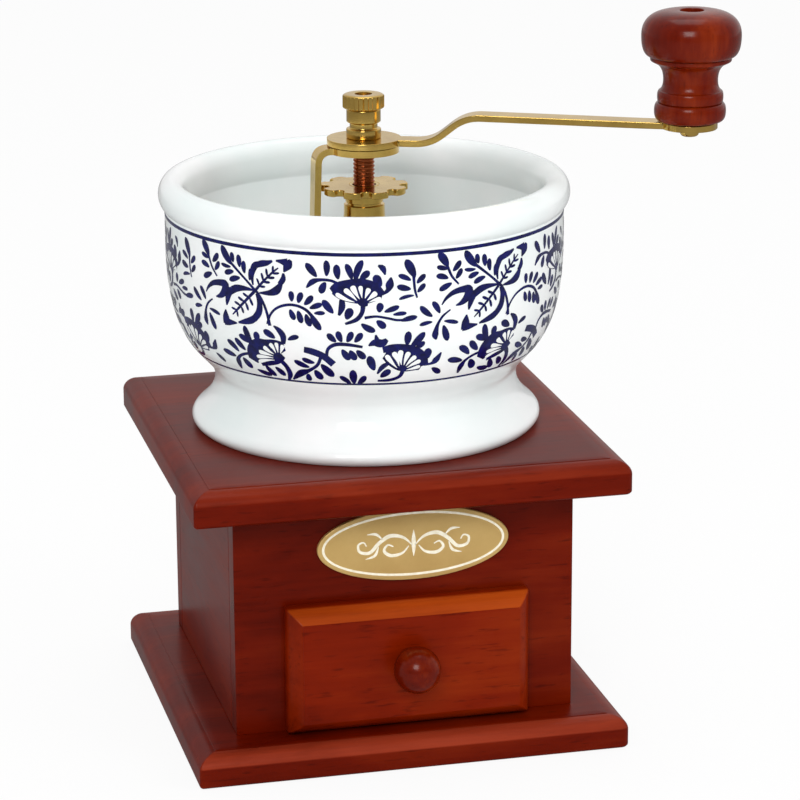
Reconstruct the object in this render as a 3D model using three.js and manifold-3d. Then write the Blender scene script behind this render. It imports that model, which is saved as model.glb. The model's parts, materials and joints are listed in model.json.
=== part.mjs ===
// Manual coffee grinder: wooden case with a drawer, porcelain hopper, brass crank mechanism.
// Millimetres, +Z up, the drawer faces -Y. The origin is under the base, on the spindle axis.
import * as THREE from 'three';
import { mergeVertices } from 'three/addons/utils/BufferGeometryUtils.js';
import Module from 'manifold-3d';

const wasm = await Module();
wasm.setup();

// Gaps and overruns
const glueLine = 0.02;
const runGap = 0.3;
const holeRoom = 0.3;
const cutOverrun = 2;

// Case: two routed boards and four walls
const boardSide = 140;
const baseThick = 10.3;
const topThick = 10.8;
const caseWidth = 110.2;
const caseDepth = 106.8;
const caseHeight = 75.1;
const wallThick = 8;
const edgeRound = 5.35;
const edgeDrop = 4.3;
const edgeLedge = 0.6;
const edgeStep = 0.6;
const edgeFoot = 0.7;
const edgeCorner = 2.5;

// Drawer, its bay in the front wall and its runners
const bayWidth = 69.6;
const bayHeight = 34.6;
const bayLift = 4;
const drawerGap = 0.4;
const drawerBackRoom = 7.4;
const drawerSideThick = 6;
const drawerBottomThick = 4;
const drawerFrontWidth = 78.8;
const drawerFrontHeight = 41.7;
const drawerFrontThick = 9;
const drawerFrontLift = 0.7;
const drawerEdgeRound = 4;
const drawerEdgeDrop = 5.2;
const drawerEdgeLedge = 0.4;
const drawerEdgeStep = 0.5;
const drawerEdgeCorner = 0.6;
const runnerLedge = 7;
const runnerGuideThick = 5;
const runnerGuideHeight = 9;

// Drawer knob and the screw that holds it from inside
const drawerKnobRadius = 7.5;
const drawerKnobNeckRadius = 4.2;
const drawerKnobFootRadius = 5.4;
const drawerKnobFootThick = 1.2;
const drawerKnobReach = 14;
const drawerKnobRise = 1.2;
const drawerScrewRadius = 1.8;
const drawerScrewBite = 7;
const drawerScrewHeadRadius = 3.6;
const drawerScrewHeadHeight = 2;

// Oval plate on the front wall
const plateWidth = 62;
const plateTopRoom = 3.4;
const plateFootRoom = 5.3;
const plateThick = 1.2;
const plateBevel = 0.35;
const plateShift = 2.5;

// Wood screws up through the base into the front and back walls
const baseScrewSpread = 40;
const baseScrewRadius = 1.7;
const baseScrewHeadRadius = 3.6;
const baseScrewHeadHeight = 2.6;
const baseScrewSink = 0.6;
const baseScrewBite = 12;

// Porcelain hopper, turned about the spindle axis
const bowlFootRadius = 55.2;
const bowlFootLift = 2.5;
const bowlFootRingWidth = 6;
const bowlFloorThick = 5;
const bowlLipRadius = 57.2;
const bowlLipHeight = 5.1;
const bowlLipNeckRadius = 55.5;
const bowlCoveStart = 1.4;
const bowlCoveFlare = 1.2;
const bowlWaistRadius = 49.1;
const bowlWaistHeight = 15.8;
const bowlWaistPull = 10;
const bowlCovePull = 5.5;
const bowlBellyRadius = 64.2;
const bowlBellyHeight = 59.8;
const bowlBellyPull = 37.5;
const bowlWallThick = 4.8;
const bowlShoulderHeight = 70.8;
const bowlRimRadius = 66.2;
const bowlRimHalfWidth = 4.35;
const bowlRimHalfHeight = 5.3;
const bowlFloorCorner = 7.5;
const bowlRimStart = THREE.MathUtils.degToRad(-62);

// Grinding ring in the hopper floor, with its toothed bore
const flangeRadius = 29;
const flangeThick = 3.2;
const barrelRadius = 19.5;
const barrelLength = 19.7;
const barrelRoom = 0.8;
const boardHoleRoom = 1.5;
const mouthRadius = 16;
const toothCount = 20;
const toothDepth = 1.3;
const toothLean = THREE.MathUtils.degToRad(28);
const toothSteepShare = 0.3;
const coneBottomRadius = 15.2;
const coneTopRadius = 9.4;
const coneHeight = 17;
const coneSink = 0.5;
const grindGap = 1;

// Screws that hold the ring, the hopper, the bridge and the bracket to the top board
const flangeScrewCircle = 24;
const flangeScrewRadius = 1.8;
const flangeScrewHeadRadius = 3.4;
const flangeScrewHeadHeight = 2;
const flangeScrewBite = 8;

// Bridge across the ring's mouth, the lower bearing of the spindle
const bridgeThick = 2.6;
const bridgeWidth = 8;
const bridgeOverhang = 4.3;

// Bracket of bent strip that carries the threaded sleeve
const bracketHeight = 80.1;
const bracketDiscRadius = 11.4;
const stripThick = 2.1;
const legWidth = 7;
const legTopRadius = 15.5;
const legFootRadius = 18;
const legBend = 4.2;
const footBend = 2.4;
const footLength = 10.5;

// Threaded sleeve and the star wheel that climbs it
const sleeveRadius = 3.5;
const sleeveBoreRadius = 2.5;
const threadPitch = 1.25;
const starDrop = 15.1;
const starThick = 2.2;
const starRadius = 14.3;
const starNotchRadius = 1.7;
const starNotchPlace = 13.2;
const starLobes = 9;
const starPullShare = 0.75;
const hubRadius = 5.85;
const hubLength = 6.5;
const hubNeckRadius = 4.8;
const grooveRadius = 5.3;
const grooveHeight = 0.8;
const bellTopRadius = 5.6;
const bellRadius = 9.6;
const bellLength = 8;
const bellWall = 1.6;

// Spindle and what is clamped on it
const spindleRadius = 3;
const spindleNeckRadius = 2.2;
const shoulderRadius = 4.2;
const spindleFlangeThick = 2.1;
const springLength = 27.5;
const collarRadius = 7;
const collarThick = 2.8;
const washerRadius = 7.5;
const washerThick = 1.2;
const nutWidth = 10;
const nutThick = 5;
const spindleTail = 1.5;

// Return spring
const springRadius = 5;
const springWire = 1.1;
const springCurls = 8;

// Crank arm with its boss and cap nut
const crankAngle = THREE.MathUtils.degToRad(-22);
const crankLength = 104;
const crankThick = 2.1;
const crankDiscRadius = 12;
const crankStripWidth = 7.3;
const crankEndRadius = 8.8;
const crankRise = 7.75;
const crankSag = 1.05;
const crankSagEnd = 92;
const crankBendStart = 22;
const crankBendEnd = 33;
const crankBend = 5;
const bossRingRadius = 5.6;
const bossRingHeight = 3.1;
const bossGrooveRadius = 4.45;
const bossGrooveHeight = 2;
const bossRadius = 5.5;
const bossHeight = 4.3;
const capRadius = 6.7;
const capHeight = 4.4;
const capDome = 0.4;
const capRecessRadius = 2.75;
const capRecessDepth = 1.8;
const capChamfer = 0.5;

// Turned hand knob on its screw
const knobHeight = 35;
const knobFootRadius = 9.4;
const knobRingRadius = 11.3;
const knobRingLevel = 2.9;
const knobGrooveRadius = 9.9;
const knobGrooveLevel = 5.3;
const knobBeadRadius = 10.3;
const knobBeadLevel = 6.9;
const knobBeadPull = 3.4;
const knobWaistRadius = 8.6;
const knobWaistLevel = 12.9;
const knobFlareRadius = 11.6;
const knobFlareLevel = 18.6;
const knobFlarePull = 4.3;
const knobCollarRadius = 12.8;
const knobCollarLevel = 19.2;
const knobCollarThick = 1.2;
const knobBallNeckRadius = 12.3;
const knobBallRadius = 15.7;
const knobBallLevel = 27.1;
const knobTopRadius = 5.2;
const knobRecessRadius = 3.75;
const knobRecessDepth = 4;
const knobScrewRadius = 2;
const knobScrewHeadRadius = 3.4;
const knobScrewHeadHeight = 2.4;
const rivetRadius = 3.05;
const rivetHeight = 2.6;

// Facets round the turned pieces, and steps on each curved stretch of a profile
const bowlSides = 48;
const bowlSteps = 5;
const wideSides = 28;
const smallSides = 16;
const screwSides = 10;
const curveSteps = 3;

// Levels, from the base up
const wallBottom = baseThick;
const wallTop = wallBottom + caseHeight;
const boardTop = wallTop + topThick;
const floorTop = boardTop + bowlFootLift + bowlFloorThick;
const flangeTop = floorTop + flangeThick;
const bridgeTop = flangeTop + bridgeThick;
const barrelBottom = floorTop - barrelLength;
const bracketTop = flangeTop + bracketHeight;
const starBottom = bracketTop - starDrop;
const hubBottom = starBottom - hubLength;
const bellTop = hubBottom - grooveHeight;
const bellBottom = bellTop - bellLength;
const spindleFlangeTop = bellTop - runGap;
const sleeveBottom = spindleFlangeTop + threadPitch + runGap;
const collarBottom = bridgeTop + springLength;
const shoulderBottom = collarBottom + collarThick + runGap;
const coneBottom = barrelBottom + coneSink;
const coneTop = coneBottom + coneHeight;
const washerBottom = coneBottom - washerThick;
const nutBottom = washerBottom - nutThick;
const crankBottom = bracketTop + runGap;
const crankTop = crankBottom + crankThick;
const bossTop = crankTop + bossRingHeight + bossGrooveHeight + bossHeight;
const capTop = bossTop + capHeight + capDome;
const armTop = crankTop + crankRise;
const knobBottom = armTop + runGap;
const bayBottom = wallBottom + bayLift;
const bayTop = bayBottom + bayHeight;
const frontFace = -caseDepth / 2;
const drawerBack = frontFace - runGap;
const drawerFace = drawerBack - drawerFrontThick;
const drawerKnobLevel = wallBottom + drawerFrontLift + drawerFrontHeight / 2 + drawerKnobRise;
const drawerBoxBottom = bayBottom + drawerGap;
const drawerBoxTop = bayTop - drawerGap;
const drawerBoxHalf = bayWidth / 2 - drawerGap;
const drawerFrontTop = wallBottom + drawerFrontLift + drawerFrontHeight;
const plateTop = wallTop - plateTopRoom;
const plateHeight = plateTop - plateFootRoom - drawerFrontTop;

const finishes = {
  caseWood: { color: 0x6f1b10, roughness: 0.32, metalness: 0 },
  drawerWood: { color: 0x7a1d0e, roughness: 0.3, metalness: 0 },
  plainWood: { color: 0xb98a58, roughness: 0.7, metalness: 0 },
  knobWood: { color: 0x6e1a0b, roughness: 0.22, metalness: 0 },
  porcelain: { color: 0xf3f4f2, roughness: 0.12, metalness: 0 },
  brass: { color: 0xb7923f, roughness: 0.25, metalness: 1 },
  plateGold: { color: 0xbfa15c, roughness: 0.35, metalness: 1 },
  copper: { color: 0x96492a, roughness: 0.3, metalness: 1 },
  iron: { color: 0x3c3b3a, roughness: 0.55, metalness: 0.9 },
  steel: { color: 0xa8a9a6, roughness: 0.3, metalness: 1 },
};

const grinder = new THREE.Group();

function addPiece(name, geometry, finish, x = 0, y = 0, z = 0) {
  const mesh = new THREE.Mesh(geometry, new THREE.MeshStandardMaterial(finishes[finish]));
  mesh.name = name;
  mesh.position.set(x, y, z);
  grinder.add(mesh);
}

// Solids and meshes

function toSolid(geometry) {
  const bare = geometry.clone();
  bare.deleteAttribute('normal');
  bare.deleteAttribute('uv');
  const merged = mergeVertices(bare);
  const corners = merged.index.array;
  const kept = [];
  for (let i = 0; i < corners.length; i += 3) {
    const [a, b, c] = corners.slice(i, i + 3);
    if (a !== b && b !== c && c !== a) kept.push(a, b, c);
  }
  return new wasm.Manifold(new wasm.Mesh({
    numProp: 3,
    vertProperties: new Float32Array(merged.attributes.position.array),
    triVerts: new Uint32Array(kept),
  }));
}

function toGeometry(solid) {
  const mesh = solid.getMesh();
  const geometry = new THREE.BufferGeometry();
  geometry.setAttribute('position', new THREE.BufferAttribute(mesh.vertProperties, 3));
  geometry.setIndex(new THREE.BufferAttribute(mesh.triVerts, 1));
  geometry.computeVertexNormals();
  return geometry;
}

// Box between two corners
function block(x0, x1, y0, y1, z0, z1) {
  const geometry = new THREE.BoxGeometry(x1 - x0, y1 - y0, z1 - z0);
  return geometry.translate((x0 + x1) / 2, (y0 + y1) / 2, (z0 + z1) / 2);
}

// Upright cylinder
function post(radius, z0, z1, sides, x = 0, y = 0) {
  const geometry = new THREE.CylinderGeometry(radius, radius, z1 - z0, sides);
  geometry.rotateX(Math.PI / 2);
  return geometry.translate(x, y, (z0 + z1) / 2);
}

// Profile of radius and height, turned about Z
function turned(profile, sides, steps = curveSteps) {
  const geometry = new THREE.LatheGeometry(profile.getPoints(steps), sides);
  return geometry.rotateX(Math.PI / 2);
}

function extrudedUp(shape, z0, z1, steps = curveSteps) {
  const options = { depth: z1 - z0, bevelEnabled: false, curveSegments: steps };
  return new THREE.ExtrudeGeometry(shape, options).translate(0, 0, z0);
}

// Outline in X and Z, extruded along Y
function extrudedAcross(shape, y0, y1, steps = curveSteps) {
  const options = { depth: y1 - y0, bevelEnabled: false, curveSegments: steps };
  const geometry = new THREE.ExtrudeGeometry(shape, options);
  return geometry.rotateX(Math.PI / 2).translate(0, y1, 0);
}

// Plain ring: a turned rectangle
function ring(inner, outer, z0, z1, sides) {
  const profile = new THREE.Path();
  profile.moveTo(inner, z0);
  profile.lineTo(outer, z0);
  profile.lineTo(outer, z1);
  profile.lineTo(inner, z1);
  profile.lineTo(inner, z0);
  return turned(profile, sides);
}

// Screw pointing down, its head's underside at height zero
function panScrew(headRadius, headHeight, shankRadius, shankLength) {
  const profile = new THREE.Path();
  profile.moveTo(0, -shankLength);
  profile.lineTo(shankRadius / 2, -shankLength);
  profile.lineTo(shankRadius, -shankLength + shankRadius);
  profile.lineTo(shankRadius, 0);
  profile.lineTo(headRadius, 0);
  profile.lineTo(headRadius, headHeight / 2);
  profile.quadraticCurveTo(headRadius, headHeight, 0, headHeight);
  return turned(profile, screwSides);
}

// Routed boards: a small step, then a convex round down to a square edge

function routedOutline(width, thick, edge) {
  const half = width / 2;
  const roundCentre = half - edge.round;
  const roundLevel = thick - edge.step - edge.drop;
  const flatHalf = roundCentre - edge.ledge;
  const shape = new THREE.Shape();
  shape.moveTo(-half + edge.foot, 0);
  shape.lineTo(half - edge.foot, 0);
  shape.lineTo(half, edge.foot);
  shape.lineTo(half, roundLevel);
  shape.absellipse(roundCentre, roundLevel, edge.round, edge.drop, 0, Math.PI / 2);
  shape.lineTo(flatHalf, thick - edge.step);
  shape.lineTo(flatHalf, thick);
  shape.lineTo(-flatHalf, thick);
  shape.lineTo(-flatHalf, thick - edge.step);
  shape.absellipse(-roundCentre, roundLevel, edge.round, edge.drop, Math.PI / 2, Math.PI);
  shape.lineTo(-half, edge.foot);
  shape.closePath();
  return shape;
}

// A rectangle with its corners rounded
function roundedPlan(width, depth, corner) {
  const alongX = width / 2 - corner;
  const alongY = depth / 2 - corner;
  const shape = new THREE.Shape();
  shape.absarc(alongX, alongY, corner, 0, Math.PI / 2);
  shape.absarc(-alongX, alongY, corner, Math.PI / 2, Math.PI);
  shape.absarc(-alongX, -alongY, corner, Math.PI, Math.PI * 1.5);
  shape.absarc(alongX, -alongY, corner, Math.PI * 1.5, Math.PI * 2);
  shape.closePath();
  return shape;
}

// The edge runs round all four sides, so the board is where two extrusions cross
function routedBoard(width, depth, thick, edge) {
  const reachX = width / 2 + cutOverrun;
  const reachY = depth / 2 + cutOverrun;
  const lengthways = toSolid(extrudedAcross(routedOutline(width, thick, edge), -reachY, reachY));
  const turnedOutline = extrudedAcross(routedOutline(depth, thick, edge), -reachX, reachX);
  const sideways = toSolid(turnedOutline.rotateZ(Math.PI / 2));
  const plan = extrudedUp(roundedPlan(width, depth, edge.corner), -cutOverrun, thick + cutOverrun);
  return lengthways.intersect(sideways).intersect(toSolid(plan));
}

const caseEdge = {
  round: edgeRound, drop: edgeDrop, ledge: edgeLedge, step: edgeStep, foot: edgeFoot,
  corner: edgeCorner,
};
const drawerEdge = {
  round: drawerEdgeRound, drop: drawerEdgeDrop, ledge: drawerEdgeLedge, step: drawerEdgeStep, foot: 0,
  corner: drawerEdgeCorner,
};

const baseScrewY = caseDepth / 2 - wallThick / 2;
const baseScrewPlaces = [
  [-baseScrewSpread, -baseScrewY],
  [baseScrewSpread, -baseScrewY],
  [-baseScrewSpread, baseScrewY],
  [baseScrewSpread, baseScrewY],
];

// Cone under the head of a base screw, and the hole it leaves in the board
function baseScrewProfile(extra, low, high) {
  const headTop = baseScrewSink + baseScrewHeadHeight;
  const profile = new THREE.Path();
  profile.moveTo(0, low);
  profile.lineTo(baseScrewHeadRadius + extra, low);
  profile.lineTo(baseScrewHeadRadius + extra, baseScrewSink);
  profile.lineTo(baseScrewRadius + extra, headTop);
  profile.lineTo(baseScrewRadius + extra, high);
  profile.lineTo(0, high);
  return turned(profile, screwSides);
}

function baseBoard() {
  let board = routedBoard(boardSide, boardSide, baseThick, caseEdge);
  for (const [x, y] of baseScrewPlaces) {
    const hole = baseScrewProfile(holeRoom, -cutOverrun, baseThick + cutOverrun);
    board = board.subtract(toSolid(hole.translate(x, y, 0)));
  }
  addPiece('base_board', toGeometry(board), 'caseWood');
  baseScrewPlaces.forEach(([x, y], index) => {
    const screw = baseScrewProfile(0, baseScrewSink - holeRoom, baseThick + baseScrewBite);
    addPiece(`base_screw_${index + 1}`, screw, 'steel', x, y);
  });
}

// Places of the four flange screws, and what each head sits on
const flangeScrewSeats = [
  { x: flangeScrewCircle, y: 0, seat: flangeTop },
  { x: 0, y: flangeScrewCircle, seat: bridgeTop },
  { x: -flangeScrewCircle, y: 0, seat: flangeTop + glueLine + stripThick },
  { x: 0, y: -flangeScrewCircle, seat: bridgeTop },
];
const flangeScrewTip = boardTop - flangeScrewBite;

function withoutFlangeScrews(solid) {
  let left = solid;
  for (const { x, y, seat } of flangeScrewSeats) {
    const radius = flangeScrewRadius + holeRoom;
    const hole = post(radius, flangeScrewTip - holeRoom, seat + cutOverrun, screwSides, x, y);
    left = left.subtract(toSolid(hole));
  }
  return left;
}

function topBoard() {
  const board = routedBoard(boardSide, boardSide, topThick, caseEdge);
  const placed = board.translate([0, 0, wallTop]);
  const holeRadius = barrelRadius + boardHoleRoom;
  const hole = post(holeRadius, wallTop - cutOverrun, boardTop + cutOverrun, wideSides);
  addPiece('top_board', toGeometry(withoutFlangeScrews(placed.subtract(toSolid(hole)))), 'caseWood');
}

function walls() {
  const low = wallBottom + glueLine;
  const high = wallTop - glueLine;
  const halfWidth = caseWidth / 2;
  const halfDepth = caseDepth / 2;
  const inner = halfDepth - wallThick;
  let front = toSolid(block(-halfWidth, halfWidth, -halfDepth, -inner, low, high));
  let back = toSolid(block(-halfWidth, halfWidth, inner, halfDepth, low, high));
  const bayHalf = bayWidth / 2;
  const bay = block(-bayHalf, bayHalf, -halfDepth - cutOverrun, -inner + cutOverrun, bayBottom, bayTop);
  front = front.subtract(toSolid(bay));
  for (const [x, y] of baseScrewPlaces) {
    const radius = baseScrewRadius + holeRoom;
    const holeTop = baseThick + baseScrewBite + holeRoom;
    const hole = toSolid(post(radius, wallBottom - cutOverrun, holeTop, screwSides, x, y));
    if (y < 0) front = front.subtract(hole);
    else back = back.subtract(hole);
  }
  addPiece('front_panel', toGeometry(front), 'caseWood');
  addPiece('back_panel', toGeometry(back), 'caseWood');
  const sideReach = inner - glueLine;
  const sideInner = halfWidth - wallThick;
  addPiece('left_panel', block(-halfWidth, -sideInner, -sideReach, sideReach, low, high), 'caseWood');
  addPiece('right_panel', block(sideInner, halfWidth, -sideReach, sideReach, low, high), 'caseWood');
}

// L section: the drawer slides on the ledge, between the guides
function runners() {
  const bayHalf = bayWidth / 2;
  const low = wallBottom + glueLine;
  const reach = caseDepth / 2 - wallThick - glueLine;
  const section = new THREE.Shape();
  section.moveTo(bayHalf - runnerLedge, low);
  section.lineTo(bayHalf + runnerGuideThick, low);
  section.lineTo(bayHalf + runnerGuideThick, bayBottom + runnerGuideHeight);
  section.lineTo(bayHalf, bayBottom + runnerGuideHeight);
  section.lineTo(bayHalf, bayBottom);
  section.lineTo(bayHalf - runnerLedge, bayBottom);
  section.closePath();
  addPiece('right_runner', extrudedAcross(section, -reach, reach), 'plainWood');
  addPiece('left_runner', extrudedAcross(section, -reach, reach).rotateZ(Math.PI), 'plainWood');
}

function ovalPlate() {
  const oval = new THREE.Shape();
  oval.absellipse(0, 0, plateWidth / 2 - plateBevel, plateHeight / 2 - plateBevel, 0, Math.PI * 2);
  const plate = new THREE.ExtrudeGeometry(oval, {
    depth: plateThick - plateBevel,
    curveSegments: smallSides,
    bevelThickness: plateBevel,
    bevelSize: plateBevel,
    bevelSegments: 1,
  });
  // Only the front keeps its bevel: the back lies flat on the wall
  const body = toSolid(plate.rotateX(Math.PI / 2).translate(0, 0, plateTop - plateHeight / 2));
  const reach = plateWidth;
  const back = block(-reach, reach, 0, reach, 0, boardTop);
  const flat = toGeometry(body.subtract(toSolid(back)));
  addPiece('oval_plate', flat.translate(plateShift, frontFace - glueLine, 0), 'plateGold');
}

// Drawer, its knob and the knob's screw

function drawer() {
  const half = drawerBoxHalf;
  const sideInner = half - drawerSideThick;
  const low = drawerBoxBottom;
  const high = drawerBoxTop;
  const near = drawerBack + glueLine;
  const far = caseDepth / 2 - wallThick - drawerBackRoom;
  const backNear = far - drawerSideThick;
  const bottomTop = low + drawerBottomThick;
  const across = sideInner - glueLine;
  addPiece('drawer_left', block(-half, -sideInner, near, far, low, high), 'plainWood');
  addPiece('drawer_right', block(sideInner, half, near, far, low, high), 'plainWood');
  addPiece('drawer_back', block(-across, across, backNear, far, low, high), 'plainWood');
  const bottom = block(-across, across, near, backNear - glueLine, low, bottomTop);
  addPiece('drawer_bottom', bottom, 'plainWood');
  const board = routedBoard(drawerFrontWidth, drawerFrontHeight, drawerFrontThick, drawerEdge);
  const frontCentre = wallBottom + drawerFrontLift + drawerFrontHeight / 2;
  const front = toGeometry(board).rotateX(Math.PI / 2).translate(0, drawerBack, frontCentre);
  const hole = post(drawerScrewRadius + holeRoom, -drawerFrontThick, drawerFrontThick, screwSides);
  hole.rotateX(Math.PI / 2).translate(0, drawerBack, drawerKnobLevel);
  addPiece('drawer_front', toGeometry(toSolid(front).subtract(toSolid(hole))), 'drawerWood');
}

function drawerKnob() {
  const ballCentre = drawerKnobReach - drawerKnobRadius;
  const neckMeet = Math.asin(drawerKnobNeckRadius / drawerKnobRadius);
  const boreRadius = drawerScrewRadius + holeRoom;
  const boreDepth = drawerScrewBite + holeRoom;
  const profile = new THREE.Path();
  profile.moveTo(0, boreDepth);
  profile.lineTo(boreRadius, boreDepth);
  profile.lineTo(boreRadius, glueLine);
  profile.lineTo(drawerKnobFootRadius, glueLine);
  profile.lineTo(drawerKnobFootRadius, drawerKnobFootThick);
  profile.lineTo(drawerKnobNeckRadius, drawerKnobFootThick);
  profile.absarc(0, ballCentre, drawerKnobRadius, neckMeet - Math.PI / 2, Math.PI / 2);
  const knob = turned(profile, wideSides, curveSteps + 1).rotateX(Math.PI / 2);
  addPiece('drawer_knob', knob, 'drawerWood', 0, drawerFace, drawerKnobLevel);
  const shankLength = drawerFrontThick + drawerScrewBite;
  const headRadius = drawerScrewHeadRadius;
  const screw = panScrew(headRadius, drawerScrewHeadHeight, drawerScrewRadius, shankLength);
  screw.rotateX(-Math.PI / 2);
  addPiece('drawer_knob_screw', screw, 'steel', 0, drawerBack + glueLine, drawerKnobLevel);
}

// Porcelain hopper: bead at the foot, cove, belly, rolled rim and an inner shoulder

function hopperBowl() {
  const low = boardTop + glueLine;
  const floorBottom = boardTop + bowlFootLift;
  const lipTop = boardTop + bowlLipHeight;
  const waist = boardTop + bowlWaistHeight;
  const belly = boardTop + bowlBellyHeight;
  const shoulder = boardTop + bowlShoulderHeight;
  const rimCentre = shoulder + bowlRimHalfHeight;
  const rimMiddle = bowlRimRadius - bowlRimHalfWidth;
  const rimInner = rimMiddle - bowlRimHalfWidth;
  const innerBelly = bowlBellyRadius - bowlWallThick;
  const innerWaist = bowlWaistRadius - bowlWallThick;
  const innerFoot = bowlFootRadius - bowlFootRingWidth;
  const hole = barrelRadius + barrelRoom;
  const profile = new THREE.Path();
  profile.moveTo(hole, floorBottom);
  profile.lineTo(innerFoot, floorBottom);
  profile.lineTo(innerFoot, low);
  profile.lineTo(bowlFootRadius, low);
  profile.quadraticCurveTo(bowlLipRadius + bowlCoveFlare, (low + lipTop) / 2, bowlLipNeckRadius, lipTop);
  profile.bezierCurveTo(
    bowlLipNeckRadius - bowlCoveStart, lipTop + bowlCoveFlare,
    bowlWaistRadius, waist - bowlCovePull,
    bowlWaistRadius, waist,
  );
  profile.bezierCurveTo(
    bowlWaistRadius, waist + bowlWaistPull,
    bowlBellyRadius, belly - bowlBellyPull,
    bowlBellyRadius, belly,
  );
  profile.lineTo(bowlBellyRadius, shoulder);
  profile.absellipse(rimMiddle, rimCentre, bowlRimHalfWidth, bowlRimHalfHeight, bowlRimStart, Math.PI);
  profile.lineTo(rimInner, shoulder);
  profile.lineTo(innerBelly, shoulder - bowlWallThick / 2);
  profile.lineTo(innerBelly, belly);
  profile.bezierCurveTo(
    innerBelly, belly - bowlBellyPull,
    innerWaist, waist + bowlWaistPull,
    innerWaist, waist,
  );
  profile.quadraticCurveTo(innerWaist, floorTop, innerWaist - bowlFloorCorner, floorTop);
  profile.lineTo(hole, floorTop);
  profile.lineTo(hole, floorBottom);
  const bowl = toSolid(turned(profile, bowlSides, bowlSteps));
  addPiece('hopper_bowl', toGeometry(withoutFlangeScrews(bowl)), 'porcelain');
}

// Burrs: saw teeth round a taper, leaning as they rise

// The outline's radii shrink by the same amount at each height, so the teeth keep their depth
function toothedTaper(bottomRadius, shrink, z0, z1) {
  const outline = new THREE.Shape();
  const pitch = Math.PI * 2 / toothCount;
  for (let tooth = 0; tooth < toothCount; tooth += 1) {
    const crest = tooth * pitch;
    const root = crest + pitch * toothSteepShare;
    const rootRadius = bottomRadius - toothDepth;
    if (tooth === 0) outline.moveTo(bottomRadius, 0);
    else outline.lineTo(bottomRadius * Math.cos(crest), bottomRadius * Math.sin(crest));
    outline.lineTo(rootRadius * Math.cos(root), rootRadius * Math.sin(root));
  }
  outline.closePath();
  const options = { depth: z1 - z0, bevelEnabled: false, steps: curveSteps };
  const geometry = new THREE.ExtrudeGeometry(outline, options);
  const places = geometry.attributes.position;
  for (let i = 0; i < places.count; i += 1) {
    const rise = places.getZ(i) / (z1 - z0);
    const radius = Math.hypot(places.getX(i), places.getY(i)) - shrink * rise;
    const angle = Math.atan2(places.getY(i), places.getX(i)) + toothLean * rise;
    places.setXY(i, radius * Math.cos(angle), radius * Math.sin(angle));
  }
  return geometry.translate(0, 0, z0);
}

const coneShrink = coneBottomRadius - coneTopRadius;

function outerBurr() {
  const low = floorTop + glueLine;
  const profile = new THREE.Path();
  profile.moveTo(0, barrelBottom);
  profile.lineTo(barrelRadius, barrelBottom);
  profile.lineTo(barrelRadius, low);
  profile.lineTo(flangeRadius, low);
  profile.lineTo(flangeRadius, flangeTop);
  profile.lineTo(0, flangeTop);
  const body = toSolid(turned(profile, wideSides + smallSides));
  // The bore is the cone's own taper, opened by the grinding gap and its teeth
  const boreLow = coneBottom - cutOverrun;
  const perHeight = coneShrink / coneHeight;
  const boreRadius = coneBottomRadius + grindGap + toothDepth + cutOverrun * perHeight;
  const boreShrink = (coneTop - boreLow) * perHeight;
  const bore = toSolid(toothedTaper(boreRadius, boreShrink, boreLow, coneTop));
  const throatRadius = coneTopRadius + grindGap + toothDepth;
  const mouth = new THREE.Path();
  mouth.moveTo(0, coneTop - glueLine);
  mouth.lineTo(throatRadius, coneTop - glueLine);
  mouth.lineTo(mouthRadius, flangeTop);
  mouth.lineTo(mouthRadius, flangeTop + cutOverrun);
  mouth.lineTo(0, flangeTop + cutOverrun);
  const open = body.subtract(bore).subtract(toSolid(turned(mouth, wideSides)));
  addPiece('outer_burr', toGeometry(withoutFlangeScrews(open)), 'iron');
}

function innerBurr() {
  const cone = toSolid(toothedTaper(coneBottomRadius, coneShrink, coneBottom, coneTop));
  const boreLow = coneBottom - cutOverrun;
  const bore = post(spindleRadius + holeRoom, boreLow, coneTop + cutOverrun, smallSides);
  addPiece('inner_burr', toGeometry(cone.subtract(toSolid(bore))), 'iron');
  const washerTop = coneBottom - glueLine;
  const washer = ring(spindleRadius + holeRoom, washerRadius, washerBottom, washerTop, smallSides);
  addPiece('burr_washer', washer, 'steel');
  const nutRadius = nutWidth / Math.sqrt(3);
  const nut = toSolid(post(nutRadius, nutBottom, washerBottom - glueLine, 6));
  const nutBore = post(spindleRadius + holeRoom, nutBottom - cutOverrun, coneBottom, screwSides);
  addPiece('burr_nut', toGeometry(nut.subtract(toSolid(nutBore))), 'steel');
}

function lowerBridge() {
  const reach = flangeScrewCircle + bridgeOverhang;
  const half = bridgeWidth / 2;
  const bar = toSolid(block(-half, half, -reach, reach, flangeTop + glueLine, bridgeTop));
  const boreRadius = spindleRadius + holeRoom;
  const bore = post(boreRadius, flangeTop - cutOverrun, bridgeTop + cutOverrun, smallSides);
  addPiece('lower_bridge', toGeometry(withoutFlangeScrews(bar.subtract(toSolid(bore)))), 'iron');
}

function flangeScrews() {
  flangeScrewSeats.forEach(({ x, y, seat }, index) => {
    const shank = seat - flangeScrewTip;
    const screw = panScrew(flangeScrewHeadRadius, flangeScrewHeadHeight, flangeScrewRadius, shank);
    addPiece(`flange_screw_${index + 1}`, screw, 'steel', x, y, seat + glueLine);
  });
}

// Bent strip: corners joined by rounded bends, thickened to both sides

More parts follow.
